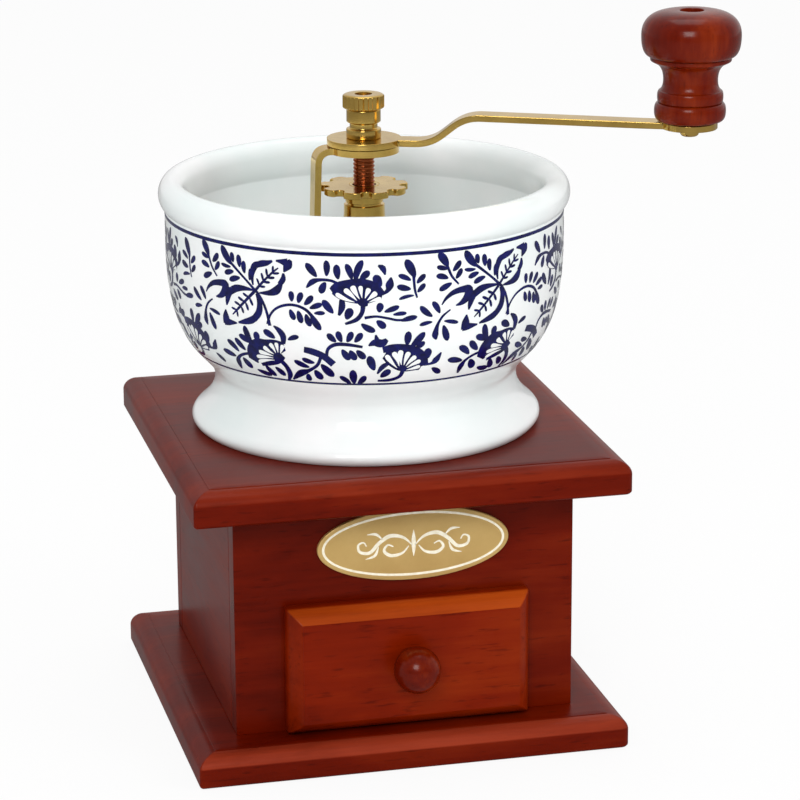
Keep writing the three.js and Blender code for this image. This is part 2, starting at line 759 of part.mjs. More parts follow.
function stripOutline(corners, bends, thick) {
  const line = new THREE.Path();
  line.moveTo(corners[0].x, corners[0].y);
  for (let i = 1; i < corners.length - 1; i += 1) {
    const corner = corners[i];
    const before = corners[i - 1].clone().sub(corner).setLength(bends[i - 1]).add(corner);
    const after = corners[i + 1].clone().sub(corner).setLength(bends[i - 1]).add(corner);
    line.lineTo(before.x, before.y);
    line.quadraticCurveTo(corner.x, corner.y, after.x, after.y);
  }
  const last = corners[corners.length - 1];
  line.lineTo(last.x, last.y);
  const middle = line.getPoints(curveSteps + 1);
  const leftSide = [];
  const rightSide = [];
  middle.forEach((point, i) => {
    const ahead = middle[Math.min(i + 1, middle.length - 1)];
    const behind = middle[Math.max(i - 1, 0)];
    const along = ahead.clone().sub(behind).setLength(thick / 2);
    leftSide.push(new THREE.Vector2(point.x - along.y, point.y + along.x));
    rightSide.push(new THREE.Vector2(point.x + along.y, point.y - along.x));
  });
  return new THREE.Shape([...rightSide, ...leftSide.reverse()]);
}

function bracket() {
  const middle = bracketTop - stripThick / 2;
  const footMiddle = flangeTop + glueLine + stripThick / 2;
  const corners = [
    new THREE.Vector2(-bracketDiscRadius / 2, middle),
    new THREE.Vector2(-legTopRadius, middle),
    new THREE.Vector2(-legFootRadius, footMiddle),
    new THREE.Vector2(-legFootRadius - footLength, footMiddle),
  ];
  const outline = stripOutline(corners, [legBend, footBend], stripThick);
  const leg = toSolid(extrudedAcross(outline, -legWidth / 2, legWidth / 2));
  const disc = toSolid(post(bracketDiscRadius, bracketTop - stripThick, bracketTop, wideSides));
  const boreRadius = sleeveRadius + glueLine;
  const bore = post(boreRadius, bracketTop - stripThick - cutOverrun, crankBottom, smallSides);
  const whole = leg.add(disc).subtract(toSolid(bore));
  addPiece('bracket', toGeometry(withoutFlangeScrews(whole)), 'brass');
  const sleeve = ring(sleeveBoreRadius, sleeveRadius, sleeveBottom, bracketTop, smallSides);
  addPiece('threaded_sleeve', sleeve, 'copper');
}

// Star wheel: rounded lobes with a notch between each pair, riveted on the hub

function starOutline() {
  const outline = new THREE.Shape();
  const pitch = Math.PI * 2 / starLobes;
  // Each notch is a half circle, and each lobe a curve from one notch's side to the next's
  const notchTurn = Math.atan(starNotchRadius / starNotchPlace);
  const sideRadius = Math.hypot(starNotchPlace, starNotchRadius);
  const lobeHalf = pitch / 2 - notchTurn;
  const pullHalf = lobeHalf * starPullShare;
  const pullRadius = (8 * starRadius - 2 * sideRadius * Math.cos(lobeHalf)) / (6 * Math.cos(pullHalf));
  for (let lobe = 0; lobe < starLobes; lobe += 1) {
    const middle = Math.PI + (lobe + 0.5) * pitch;
    const start = middle - lobeHalf;
    const end = middle + lobeHalf;
    const notch = middle + pitch / 2;
    if (lobe === 0) outline.moveTo(sideRadius * Math.cos(start), sideRadius * Math.sin(start));
    outline.bezierCurveTo(
      pullRadius * Math.cos(middle - pullHalf), pullRadius * Math.sin(middle - pullHalf),
      pullRadius * Math.cos(middle + pullHalf), pullRadius * Math.sin(middle + pullHalf),
      sideRadius * Math.cos(end), sideRadius * Math.sin(end),
    );
    const notchX = starNotchPlace * Math.cos(notch);
    const notchY = starNotchPlace * Math.sin(notch);
    outline.absarc(notchX, notchY, starNotchRadius, notch - Math.PI / 2, notch + Math.PI / 2, true);
  }
  outline.closePath();
  return outline;
}

function starWheel() {
  const plate = toSolid(extrudedUp(starOutline(), starBottom + glueLine, starBottom + starThick));
  const boreRadius = hubNeckRadius + glueLine;
  const bore = post(boreRadius, starBottom - cutOverrun, bracketTop, wideSides);
  addPiece('star_wheel', toGeometry(plate.subtract(toSolid(bore))), 'brass');
}

function adjusterHub() {
  const boreRadius = sleeveRadius + runGap;
  const neckTop = starBottom + starThick;
  const innerBell = bellRadius - bellWall;
  const profile = new THREE.Path();
  profile.moveTo(innerBell, bellBottom);
  profile.lineTo(bellRadius, bellBottom);
  profile.quadraticCurveTo(bellTopRadius, bellBottom, bellTopRadius, bellTop);
  profile.lineTo(grooveRadius, bellTop);
  profile.lineTo(grooveRadius, hubBottom);
  profile.lineTo(hubRadius, hubBottom);
  profile.lineTo(hubRadius, starBottom);
  profile.lineTo(hubNeckRadius, starBottom);
  profile.lineTo(hubNeckRadius, neckTop);
  profile.lineTo(boreRadius, neckTop);
  profile.lineTo(boreRadius, bellTop);
  profile.lineTo(bellTopRadius - bellWall, bellTop);
  profile.quadraticCurveTo(bellTopRadius - bellWall, bellBottom + bellWall, innerBell, bellBottom);
  addPiece('adjuster_hub', turned(profile, wideSides), 'brass');
}

// Spindle with a shoulder over the collar and a flange under the hub
function spindle() {
  const flangeEdge = bellTopRadius - bellWall - runGap;
  const flangeBottom = spindleFlangeTop - spindleFlangeThick;
  const profile = new THREE.Path();
  profile.moveTo(0, nutBottom - spindleTail);
  profile.lineTo(spindleRadius, nutBottom - spindleTail);
  profile.lineTo(spindleRadius, shoulderBottom);
  profile.lineTo(shoulderRadius, shoulderBottom);
  profile.lineTo(shoulderRadius, flangeBottom);
  profile.lineTo(flangeEdge, flangeBottom);
  profile.lineTo(flangeEdge, spindleFlangeTop);
  profile.lineTo(spindleNeckRadius, spindleFlangeTop);
  profile.lineTo(spindleNeckRadius, capTop - capRecessDepth);
  profile.lineTo(0, capTop - capRecessDepth);
  addPiece('spindle', turned(profile, smallSides), 'steel');
  const collarTop = collarBottom + collarThick;
  const collar = ring(spindleRadius + holeRoom, collarRadius, collarBottom, collarTop, wideSides);
  addPiece('thrust_collar', collar, 'steel');
}

// Spring: eight steps to a curl, ends that run straight up for one wire
function returnSpring() {
  const low = bridgeTop + runGap;
  const high = collarBottom - runGap;
  const helixLow = low + springWire * 2;
  const helixHigh = high - springWire * 2;
  const steps = springCurls * 8;
  const places = [
    new THREE.Vector3(springRadius, 0, low),
    new THREE.Vector3(springRadius, 0, low + springWire),
  ];
  for (let step = 1; step < steps; step += 1) {
    const angle = Math.PI * 2 * springCurls * step / steps;
    const level = helixLow + (helixHigh - helixLow) * (step - 1) / (steps - 2);
    places.push(new THREE.Vector3(springRadius * Math.cos(angle), springRadius * Math.sin(angle), level));
  }
  places.push(new THREE.Vector3(springRadius, 0, high - springWire));
  places.push(new THREE.Vector3(springRadius, 0, high));
  let leastGap = Infinity;
  for (let i = 0; i < places.length; i += 1) {
    for (let j = i + 4; j < places.length; j += 1) {
      leastGap = Math.min(leastGap, places[i].distanceTo(places[j]) - springWire);
    }
  }
  console.log(`least gap between the spring's curls: ${leastGap.toFixed(2)} mm`);
  const wire = new THREE.Shape();
  wire.absarc(0, 0, springWire / 2, 0, Math.PI * 2);
  const path = new THREE.CatmullRomCurve3(places, false, 'centripetal');
  const options = { steps: places.length, extrudePath: path, curveSegments: 5 };
  addPiece('return_spring', new THREE.ExtrudeGeometry(wire, options), 'steel');
}

// Crank: the side view and the plan are crossed, so both outlines hold

function crankPlan() {
  const half = crankStripWidth / 2;
  const discTurn = Math.asin(half / crankDiscRadius);
  const endTurn = Math.asin(half / crankEndRadius);
  const plan = new THREE.Shape();
  plan.absarc(0, 0, crankDiscRadius, discTurn, Math.PI * 2 - discTurn);
  plan.absarc(crankLength, 0, crankEndRadius, endTurn - Math.PI, Math.PI - endTurn);
  plan.closePath();
  return plan;
}

function crankArm() {
  const middle = crankBottom + crankThick / 2;
  const corners = [
    new THREE.Vector2(-crankDiscRadius - cutOverrun, middle),
    new THREE.Vector2(crankBendStart, middle),
    new THREE.Vector2(crankBendEnd, middle + crankRise + crankSag),
    new THREE.Vector2(crankSagEnd, middle + crankRise),
    new THREE.Vector2(crankLength + crankEndRadius + cutOverrun, middle + crankRise),
  ];
  const reach = crankDiscRadius + cutOverrun;
  const outline = stripOutline(corners, [crankBend, crankBend, crankBend / 2], crankThick);
  const strip = toSolid(extrudedAcross(outline, -reach, reach));
  const plan = toSolid(extrudedUp(crankPlan(), crankBottom - cutOverrun, armTop + crankSag + cutOverrun, 14));
  const low = crankBottom - cutOverrun;
  const high = armTop + cutOverrun;
  const spindleHole = toSolid(post(spindleNeckRadius + holeRoom, low, high, smallSides));
  const screwHole = toSolid(post(knobScrewRadius + holeRoom, low, high, smallSides, crankLength));
  const arm = strip.intersect(plan).subtract(spindleHole).subtract(screwHole);
  addPiece('crank_arm', toGeometry(arm).rotateZ(crankAngle), 'brass');
}

function crankBoss() {
  const bore = spindleNeckRadius + holeRoom;
  const grooveLow = crankTop + bossRingHeight;
  const grooveHigh = grooveLow + bossGrooveHeight;
  const profile = new THREE.Path();
  profile.moveTo(bore, crankTop + glueLine);
  profile.lineTo(bossRingRadius, crankTop + glueLine);
  profile.lineTo(bossRingRadius, grooveLow);
  profile.lineTo(bossGrooveRadius, grooveLow);
  profile.lineTo(bossGrooveRadius, grooveHigh);
  profile.lineTo(bossRadius, grooveHigh);
  profile.lineTo(bossRadius, bossTop);
  profile.lineTo(bore, bossTop);
  profile.lineTo(bore, crankTop + glueLine);
  addPiece('crank_boss', turned(profile, wideSides), 'brass');
}

function capNut() {
  const bore = spindleNeckRadius + holeRoom;
  const low = bossTop + glueLine;
  const edgeTop = bossTop + capHeight;
  const profile = new THREE.Path();
  profile.moveTo(bore, low);
  profile.lineTo(capRadius - capChamfer, low);
  profile.lineTo(capRadius, low + capChamfer);
  profile.lineTo(capRadius, edgeTop - capChamfer);
  profile.quadraticCurveTo(capRadius, capTop, capRecessRadius, capTop);
  profile.lineTo(capRecessRadius, capTop - capRecessDepth);
  profile.lineTo(bore, capTop - capRecessDepth);
  profile.lineTo(bore, low);
  addPiece('cap_nut', turned(profile, wideSides), 'brass');
}

// Turned knob: foot, ring, waist, collar and a flattened ball with a sunk screw head
function crankKnob() {
  const bore = knobScrewRadius + holeRoom;
  const recessFloor = knobHeight - knobRecessDepth;
  const collarTop = knobCollarLevel + knobCollarThick;
  const profile = new THREE.Path();
  profile.moveTo(bore, 0);
  profile.lineTo(knobFootRadius, 0);
  profile.quadraticCurveTo(knobRingRadius, 0, knobRingRadius, knobRingLevel);
  profile.quadraticCurveTo(knobRingRadius, knobGrooveLevel, knobGrooveRadius, knobGrooveLevel);
  profile.quadraticCurveTo(knobBeadRadius, knobGrooveLevel, knobBeadRadius, knobBeadLevel);
  const beadEnd = knobBeadLevel + knobBeadPull;
  profile.quadraticCurveTo(knobWaistRadius, beadEnd, knobWaistRadius, knobWaistLevel);
  const flareStart = knobWaistLevel + knobFlarePull;
  profile.quadraticCurveTo(knobWaistRadius, flareStart, knobFlareRadius, knobFlareLevel);
  profile.lineTo(knobCollarRadius, knobCollarLevel);
  profile.lineTo(knobCollarRadius, collarTop);
  profile.lineTo(knobBallNeckRadius, collarTop);
  profile.quadraticCurveTo(knobBallRadius, collarTop, knobBallRadius, knobBallLevel);
  profile.quadraticCurveTo(knobBallRadius, knobHeight, knobTopRadius, knobHeight);
  profile.lineTo(knobRecessRadius, knobHeight);
  profile.lineTo(knobRecessRadius, recessFloor);
  profile.lineTo(bore, recessFloor);
  profile.lineTo(bore, 0);
  const x = crankLength * Math.cos(crankAngle);
  const y = crankLength * Math.sin(crankAngle);
  addPiece('crank_knob', turned(profile, wideSides), 'knobWood', x, y, knobBottom);
  const shankLow = armTop - crankThick - glueLine - rivetHeight - knobBottom;
  const headLow = recessFloor + runGap;
  const headHigh = headLow + knobScrewHeadHeight;
  const screw = new THREE.Path();
  screw.moveTo(0, shankLow);
  screw.lineTo(rivetRadius / 2, shankLow);
  screw.quadraticCurveTo(rivetRadius, shankLow, rivetRadius, shankLow + rivetHeight);
  screw.lineTo(knobScrewRadius, shankLow + rivetHeight);
  screw.lineTo(knobScrewRadius, headLow);
  screw.lineTo(knobScrewHeadRadius, headLow);
  screw.lineTo(knobScrewHeadRadius, headHigh);
  screw.lineTo(0, headHigh);
  addPiece('knob_screw', turned(screw, screwSides), 'brass', x, y, knobBottom);
}

baseBoard();
topBoard();
walls();
runners();
ovalPlate();
drawer();
drawerKnob();
hopperBowl();
outerBurr();
innerBurr();
lowerBridge();
flangeScrews();
bracket();
starWheel();
adjusterHub();
spindle();
returnSpring();
crankArm();
crankBoss();
capNut();
crankKnob();

export default grinder;
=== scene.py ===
import json
import math
import random
from contextlib import contextmanager

import bmesh
import bpy
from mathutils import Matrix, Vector


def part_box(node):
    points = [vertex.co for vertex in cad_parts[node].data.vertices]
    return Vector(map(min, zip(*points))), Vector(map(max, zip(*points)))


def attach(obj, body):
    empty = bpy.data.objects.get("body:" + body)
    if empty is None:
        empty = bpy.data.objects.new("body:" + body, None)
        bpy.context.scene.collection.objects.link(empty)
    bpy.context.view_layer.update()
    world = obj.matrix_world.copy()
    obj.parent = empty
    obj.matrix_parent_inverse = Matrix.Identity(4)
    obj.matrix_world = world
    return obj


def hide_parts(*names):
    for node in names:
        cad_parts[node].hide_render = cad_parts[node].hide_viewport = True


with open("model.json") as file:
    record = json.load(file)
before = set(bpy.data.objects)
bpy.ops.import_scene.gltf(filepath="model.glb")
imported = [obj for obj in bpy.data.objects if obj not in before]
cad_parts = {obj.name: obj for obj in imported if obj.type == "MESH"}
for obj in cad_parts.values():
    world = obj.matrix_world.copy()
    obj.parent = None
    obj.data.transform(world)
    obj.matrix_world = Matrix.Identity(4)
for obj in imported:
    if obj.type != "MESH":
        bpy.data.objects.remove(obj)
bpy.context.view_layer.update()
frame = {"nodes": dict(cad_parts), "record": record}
scene = bpy.context.scene
print('frame loaded:', len(frame['nodes']), 'nodes')


def mm(value):
    return value / 1000


def some(values, names):
    return [values[name] for name in names.split()]


def newObject(name, data):
    piece = bpy.data.objects.new(name, data)
    scene.collection.objects.link(piece)
    return piece


# Shader and geometry trees


class Wire:  # one socket, so that a tree can be written as sums
    def __init__(self, graph, socket):
        self.graph = graph
        self.socket = socket

    def maths(self, operation, other, swapped=False):
        pair = (other, self) if swapped else (self, other)
        return self.graph.maths(operation, *pair)

    def __add__(self, other):
        return self.maths('ADD', other)

    def __radd__(self, other):
        return self.maths('ADD', other, True)

    def __sub__(self, other):
        return self.maths('SUBTRACT', other)

    def __rsub__(self, other):
        return self.maths('SUBTRACT', other, True)

    def __mul__(self, other):
        return self.maths('MULTIPLY', other)

    def __rmul__(self, other):
        return self.maths('MULTIPLY', other, True)

    def __truediv__(self, other):
        return self.maths('DIVIDE', other)


class Graph:  # every node comes from one method: its type, its settings, its sockets
    def __init__(self, tree):
        self.tree = tree

    def node(self, kind, settings=None, inputs=None, output=0):
        made = self.tree.nodes.new(kind)
        for key, value in (settings or {}).items():
            if key == 'stops':
                self.setStops(made.color_ramp, value)
            else:
                setattr(made, key, value)
        for key, value in (inputs or {}).items():
            if isinstance(value, Wire):
                self.tree.links.new(value.socket, made.inputs[key])
            else:
                made.inputs[key].default_value = value
        return Wire(self, made.outputs[output]) if len(made.outputs) else None

    def setStops(self, ramp, stops):
        while len(ramp.elements) < len(stops):
            ramp.elements.new(1)
        for element, (place, colour) in zip(ramp.elements, stops):
            element.position = place
            element.color = (*colour, 1)

    def maths(self, operation, first, second):
        return self.node('ShaderNodeMath', {'operation': operation}, {0: first, 1: second})

    def mixColour(self, share, first, second):
        return self.node('ShaderNodeMix', {'data_type': 'RGBA'}, {0: share, 6: first, 7: second}, 2)

    def span(self, value, low, high, newLow=0, newHigh=1):
        inputs = {'Value': value, 'From Min': low, 'From Max': high, 'To Min': newLow, 'To Max': newHigh}
        return self.node('ShaderNodeMapRange', {}, inputs)

    def rays(self):  # seen by the camera, and met by a mirrored or transmitted ray
        camera, mirror, glass = [self.node('ShaderNodeLightPath', output=name)
                                 for name in ('Is Camera Ray', 'Is Glossy Ray', 'Is Transmission Ray')]
        return camera, self.maths('MAXIMUM', mirror, glass)


class Finish(Graph):  # a material
    def __init__(self, name):
        self.material = bpy.data.materials.new(name)
        self.material.use_nodes = True
        super().__init__(self.material.node_tree)
        self.tree.nodes.clear()

    def noise(self, scale, detail, roughness=0.5, distortion=0):  # scale: one share for each axis
        coords = self.node('ShaderNodeTexCoord', output='Object')
        vector = self.node('ShaderNodeMapping', {}, {'Vector': coords, 'Scale': scale})
        inputs = {'Vector': vector, 'Scale': 1, 'Detail': detail, 'Roughness': roughness,
                  'Distortion': distortion}
        return self.node('ShaderNodeTexNoise', {}, inputs)

    def ramp(self, value, *stops):
        return self.node('ShaderNodeValToRGB', {'stops': stops}, {'Fac': value})

    def bump(self, height, strength, distance):
        return self.node('ShaderNodeBump', {}, {'Height': height, 'Strength': strength, 'Distance': distance})

    def close(self, **sockets):
        inputs = {key.replace('_', ' '): value for key, value in sockets.items()}
        shader = self.node('ShaderNodeBsdfPrincipled', {}, inputs)
        self.node('ShaderNodeOutputMaterial', {}, {'Surface': shader})
        return self.material


def rgb(red, green, blue):  # a screen colour, 0 to 255, made linear
    shares = [value / 255 for value in (red, green, blue)]
    linear = [share / 12.92 if share <= 0.04045 else ((share + 0.055) / 1.055) ** 2.4 for share in shares]
    return tuple(linear)


def rgba(colour):
    return (*colour, 1)


# Finishes

# Each wood's lighter edge colour and its strength paint partly wear and partly a highlight on the edges that
# catch the light.
woods = {
    'case': {
        'dark': rgb(68, 6, 0), 'middle': rgb(99, 17, 0), 'light': rgb(125, 35, 4), 'wornAndLit': rgb(160, 62, 38),
        'wear': 0.3, 'roughness': 0.3, 'coat': 0.02, 'pore': 0.45, 'mirror': 0.07,
    },
    'drawer': {
        'dark': rgb(84, 11, 0), 'middle': rgb(118, 25, 0), 'light': rgb(142, 46, 5), 'wornAndLit': rgb(184, 78, 20),
        'wear': 0.85, 'roughness': 0.3, 'coat': 0.02, 'pore': 0.45, 'mirror': 0.07,
    },
    'knob': {
        'dark': rgb(62, 5, 0), 'middle': rgb(96, 17, 0), 'light': rgb(146, 50, 7), 'wornAndLit': rgb(140, 46, 7),
        'wear': 0.0, 'roughness': 0.2, 'coat': 0.04, 'pore': 0.3, 'mirror': 0.18,
    },
    'plain': {
        'dark': rgb(150, 108, 66), 'middle': rgb(186, 144, 98), 'light': rgb(206, 168, 122),
        'wornAndLit': rgb(206, 168, 122), 'wear': 0.0, 'roughness': 0.62, 'coat': 0.0, 'pore': 0.5, 'mirror': 0.4,
    },
}
grain = {  # noise scales across and along the fibres, then how they are mixed
    'fine': (420, 22), 'broad': (38, 13), 'pores': (900, 120),
    'bandShare': 0.76, 'toneStops': (0.25, 0.5, 0.77), 'poreSpan': (0.6, 0.72), 'poreShade': 0.45,
    'bump': 0.05, 'depth': 0.03,
}


def woodFinish(name, wood, axis):  # axis: 0, 1 or 2 for fibres along X, Y or Z
    values = woods[wood]
    finish = Finish(name)

    def scaled(kind):
        across, along = grain[kind]
        return tuple(along if i == axis else across for i in range(3))

    bands = finish.noise(scaled('broad'), 4, 0.55, 0.6)
    streaks = finish.noise(scaled('fine'), 5, 0.6)
    dashes = finish.noise(scaled('pores'), 2, 0.5)
    tone = bands * grain['bandShare'] + streaks * (1 - grain['bandShare'])
    shades = [values[key] for key in ('dark', 'middle', 'light')]
    colour = finish.ramp(tone, *zip(grain['toneStops'], shades))
    pore = finish.span(dashes, *grain['poreSpan'])
    deepest = rgba([share * grain['poreShade'] for share in values['dark']])
    speckled = finish.mixColour(pore * values['pore'], colour, deepest)
    # Lighter edge colour where the edge attribute marks it: partly wear, partly a painted highlight on the
    # lit sides of the shaped edges.
    edge = finish.node('ShaderNodeAttribute', {'attribute_name': 'wear'}, output='Fac')
    rubbedAndLit = edge * finish.span(bands * 0.6 + streaks * 0.4, 0.3, 0.62, 0.4, 1) * values['wear']
    coloured = finish.mixColour(rubbedAndLit, speckled, rgba(values['wornAndLit']))
    rough = finish.span(bands, 0.3, 0.7, values['roughness'] - 0.03, values['roughness'] + 0.05)
    relief = streaks * 0.4 - pore * 0.6
    normal = finish.bump(relief, grain['bump'], mm(grain['depth']))
    return finish.close(Base_Color=coloured, Roughness=rough, Normal=normal, Coat_Weight=values['coat'],
                        Coat_Roughness=0.1, Specular_IOR_Level=values['mirror'])


metals = {
    'brass': {'colour': rgb(220, 184, 100), 'shade': rgb(166, 128, 54), 'roughness': 0.17, 'spread': 0.1},
    'plateGold': {'colour': rgb(224, 188, 118), 'shade': rgb(206, 168, 98), 'roughness': 0.42,
                  'spread': 0.08, 'metallic': 0.5},
    'copper': {'colour': rgb(172, 92, 54), 'shade': rgb(112, 50, 28), 'roughness': 0.24, 'spread': 0.12},
    'iron': {'colour': rgb(96, 94, 92), 'shade': rgb(52, 50, 49), 'roughness': 0.48, 'spread': 0.16},
    'steel': {'colour': rgb(196, 197, 196), 'shade': rgb(150, 150, 150), 'roughness': 0.22, 'spread': 0.12},
}
scratchScale = (260, 2600, 900)


def metalFinish(name, metal):
    values = metals[metal]
    finish = Finish(name)
    clouds = finish.noise((90,) * 3, 4, 0.6)
    scratches = finish.noise(scratchScale, 3, 0.6)
    mask = finish.span(clouds, 0.35, 0.75)
    colour = finish.mixColour(mask * 0.55, rgba(values['colour']), rgba(values['shade']))
    low = values['roughness'] - values['spread'] / 2
    rough = finish.span(clouds * 0.6 + scratches * 0.4, 0.3, 0.7, low, low + values['spread'])
    normal = finish.bump(scratches, 0.06, mm(0.03))
    return finish.close(Base_Color=colour, Roughness=rough, Metallic=values.get('metallic', 1),
                        Normal=normal)


glaze = {'white': rgb(244, 245, 245), 'tint': rgb(232, 240, 239), 'ink': rgb(15, 21, 90),
         'inkDark': rgb(8, 11, 58), 'roughness': 0.13}


def glazeWaves(finish):
    return finish.bump(finish.noise((110,) * 3, 2, 0.4), 0.1, mm(0.12))


def porcelainFinish():
    finish = Finish('porcelainGlaze')
    cloud = finish.noise((30,) * 3, 3, 0.5)
    colour = finish.mixColour(finish.span(cloud, 0.35, 0.7), rgba(glaze['white']), rgba(glaze['tint']))
    rough = finish.span(cloud, 0.3, 0.7, glaze['roughness'] - 0.03, glaze['roughness'] + 0.04)
    return finish.close(Base_Color=colour, Roughness=rough, Normal=glazeWaves(finish), Coat_Weight=0.25,
                        Coat_Roughness=0.08)


def inkFinish():  # the blue under the same glaze, a little uneven as brushwork is
    finish = Finish('blueInk')
    pool = finish.noise((420,) * 3, 3, 0.6)
    colour = finish.mixColour(finish.span(pool, 0.35, 0.65), rgba(glaze['ink']), rgba(glaze['inkDark']))
    rough = finish.span(pool, 0.3, 0.7, glaze['roughness'] - 0.02, glaze['roughness'] + 0.05)
    return finish.close(Base_Color=colour, Roughness=rough, Normal=glazeWaves(finish),
                        Specular_IOR_Level=0.35)


def creamFinish():
    finish = Finish('creamEnamel')
    cloud = finish.noise((600,) * 3, 3, 0.5)
    light, deep = rgb(252, 248, 228), rgb(236, 228, 200)
    colour = finish.mixColour(finish.span(cloud, 0.3, 0.7), rgba(light), rgba(deep))
    rough = finish.span(cloud, 0.3, 0.7, 0.3, 0.42)
    return finish.close(Base_Color=colour, Roughness=rough, Normal=finish.bump(cloud, 0.08, mm(0.02)))


finishes = {
    'caseX': woodFinish('caseWoodAlongX', 'case', 0),
    'caseY': woodFinish('caseWoodAlongY', 'case', 1),
    'drawer': woodFinish('drawerWood', 'drawer', 0),
    'knob': woodFinish('turnedWood', 'knob', 2),
    'knobY': woodFinish('turnedWoodAlongY', 'knob', 1),
    'plainX': woodFinish('plainWoodAlongX', 'plain', 0),
    'plainY': woodFinish('plainWoodAlongY', 'plain', 1),
    'brass': metalFinish('polishedBrass', 'brass'),
    'plateGold': metalFinish('satinGold', 'plateGold'),
    'copper': metalFinish('copperAlloy', 'copper'),
    'iron': metalFinish('castIron', 'iron'),
    'steel': metalFinish('plainSteel', 'steel'),
    'porcelain': porcelainFinish(),
    'ink': inkFinish(),
    'cream': creamFinish(),
}
print('finishes made:', len(finishes))


# Outlines and the meshes made from them


class Outline:  # points of a profile, in millimetres
    def __init__(self, *points):
        self.points = []
        self.line(*points)

    def line(self, *points):  # straight from point to point
        self.points += [Vector(point) for point in points]

    def curve(self, x1, y1, x, y, steps=10):
        start, pull, end = self.points[-1], Vector((x1, y1)), Vector((x, y))
        for step in range(1, steps + 1):
            t = step / steps
            self.points.append(start * (1 - t) ** 2 + pull * 2 * t * (1 - t) + end * t * t)

    def cubic(self, x1, y1, x2, y2, x, y, steps=18):
        start, first, second, end = self.points[-1], Vector((x1, y1)), Vector((x2, y2)), Vector((x, y))
        for step in range(1, steps + 1):
            t = step / steps
            s = 1 - t
            self.points.append(start * s ** 3 + first * 3 * s * s * t + second * 3 * s * t * t + end * t ** 3)

    def arc(self, cx, cy, rx, ry, start, end, steps=16):
        for step in range(steps + 1):
            angle = math.radians(start + (end - start) * step / steps)
            self.points.append(Vector((cx + rx * math.cos(angle), cy + ry * math.sin(angle))))

    def softened(self, radius, limit=28, steps=3):  # sharp corners become small rounds
        points = [p for i, p in enumerate(self.points) if i == 0 or (p - self.points[i - 1]).length > 1e-4]
        soft = [points[0]]
        for before, here, after in zip(points, points[1:], points[2:]):
            back, ahead = before - here, after - here
            turn = math.degrees(back.angle(-ahead, 0))
            if turn < limit:
                soft.append(here)
                continue
            reach = min(radius, back.length * 0.45, ahead.length * 0.45)
            start, end = here + back.normalized() * reach, here + ahead.normalized() * reach
            for step in range(steps + 1):
                t = step / steps
                soft.append(start * (1 - t) ** 2 + here * 2 * t * (1 - t) + end * t * t)
        soft.append(points[-1])
        return soft


def newMesh(name, vertices, faces=()):
    mesh = bpy.data.meshes.new(name)
    mesh.from_pydata([tuple(mm(c) for c in vertex) for vertex in vertices], [], faces)
    return mesh


@contextmanager
def opened(mesh):  # for changes to its faces, written back at the end
    made = bmesh.new()
    made.from_mesh(mesh)
    yield made
    made.to_mesh(mesh)
    made.free()


def meshObject(name, vertices, faces, finish, smoothAngle=30):
    mesh = newMesh(name, vertices, faces)
    with opened(mesh) as made:
        bmesh.ops.remove_doubles(made, verts=made.verts, dist=mm(0.0005))
        bmesh.ops.recalc_face_normals(made, faces=made.faces)
    mesh.materials.append(finishes[finish])
    mesh.shade_smooth()
    mesh.set_sharp_from_angle(angle=math.radians(smoothAngle))
    return newObject(name, mesh)


def ringFaces(rings, around):  # quads between each ring of corners and the next
    return [(ring * around + spot, ring * around + (spot + 1) % around,
             (ring + 1) * around + (spot + 1) % around, (ring + 1) * around + spot)
            for ring in range(rings - 1) for spot in range(around)]


def endFaces(rings, around):
    return [tuple(range(around)), tuple(range((rings - 1) * around, rings * around))]


def oval(halfX, halfY, steps, x=0, y=0):
    angles = [2 * math.pi * step / steps for step in range(steps)]
    return [Vector((x + halfX * math.cos(angle), y + halfY * math.sin(angle))) for angle in angles]


def extruded(name, points, low, high, finish):
    ring = [p for i, p in enumerate(points) if (p - points[i - 1]).length > 0.01]
    vertices = [(p.x, p.y, level) for level in (low, high) for p in ring]
    return meshObject(name, vertices, endFaces(2, len(ring)) + ringFaces(2, len(ring)), finish)


def revolve(name, points, segments, finish, closed=False, centre=(0, 0), smoothAngle=30):
    vertices = []
    faces = []
    rows = len(points)
    for turn in range(segments):
        angle = 2 * math.pi * turn / segments
        cosine, sine = math.cos(angle), math.sin(angle)
        for radius, level in points:
            vertices.append((centre[0] + radius * cosine, centre[1] + radius * sine, level))
    for turn in range(segments):
        near, far = turn * rows, (turn + 1) % segments * rows
        for row in range(rows if closed else rows - 1):
            above = (row + 1) % rows
            corners = [near + row, far + row, far + above, near + above]
            if points[row][0] < 1e-6:
                corners.pop(1)
            elif points[above][0] < 1e-6:
                corners.pop(2)
            faces.append(corners)
    return meshObject(name, vertices, faces, finish, smoothAngle)


framed = {  # corner steps and radii, the flat beyond the ledge, edge softness, and how far the edge's wear and painted highlight stay from both
    'quarter': 7, 'shrink': 0.8, 'least': 0.4, 'flat': 3, 'soft': 0.28, 'bareMargins': (0.1, 0.2),
}


def framedBlock(name, profile, half, edge, finish, sides, place=lambda x, y, z: (x, y, z)):
    # profile: inset and height from the bottom's middle round to the top's; one ring of corners each
    vertices = []
    quarter = framed['quarter']
    for inset, level in profile:
        for side, (signX, signY) in enumerate(((1, 1), (-1, 1), (-1, -1), (1, -1))):
            corner = edge['corners'][side]
            radius = max(corner - inset * framed['shrink'], min(corner, framed['least']))
            cx, cy = signX * (half[0] - inset - radius), signY * (half[1] - inset - radius)
            for step in range(quarter):
                angle = math.pi / 2 * (side + step / (quarter - 1))
                vertices.append(place(cx + radius * math.cos(angle), cy + radius * math.sin(angle), level))
    rings = (len(profile), 4 * quarter)
    piece = meshObject(name, vertices, ringFaces(*rings) + endFaces(*rings), finish)
    edgeWearAndHighlight(piece, profile, sides)
    return piece


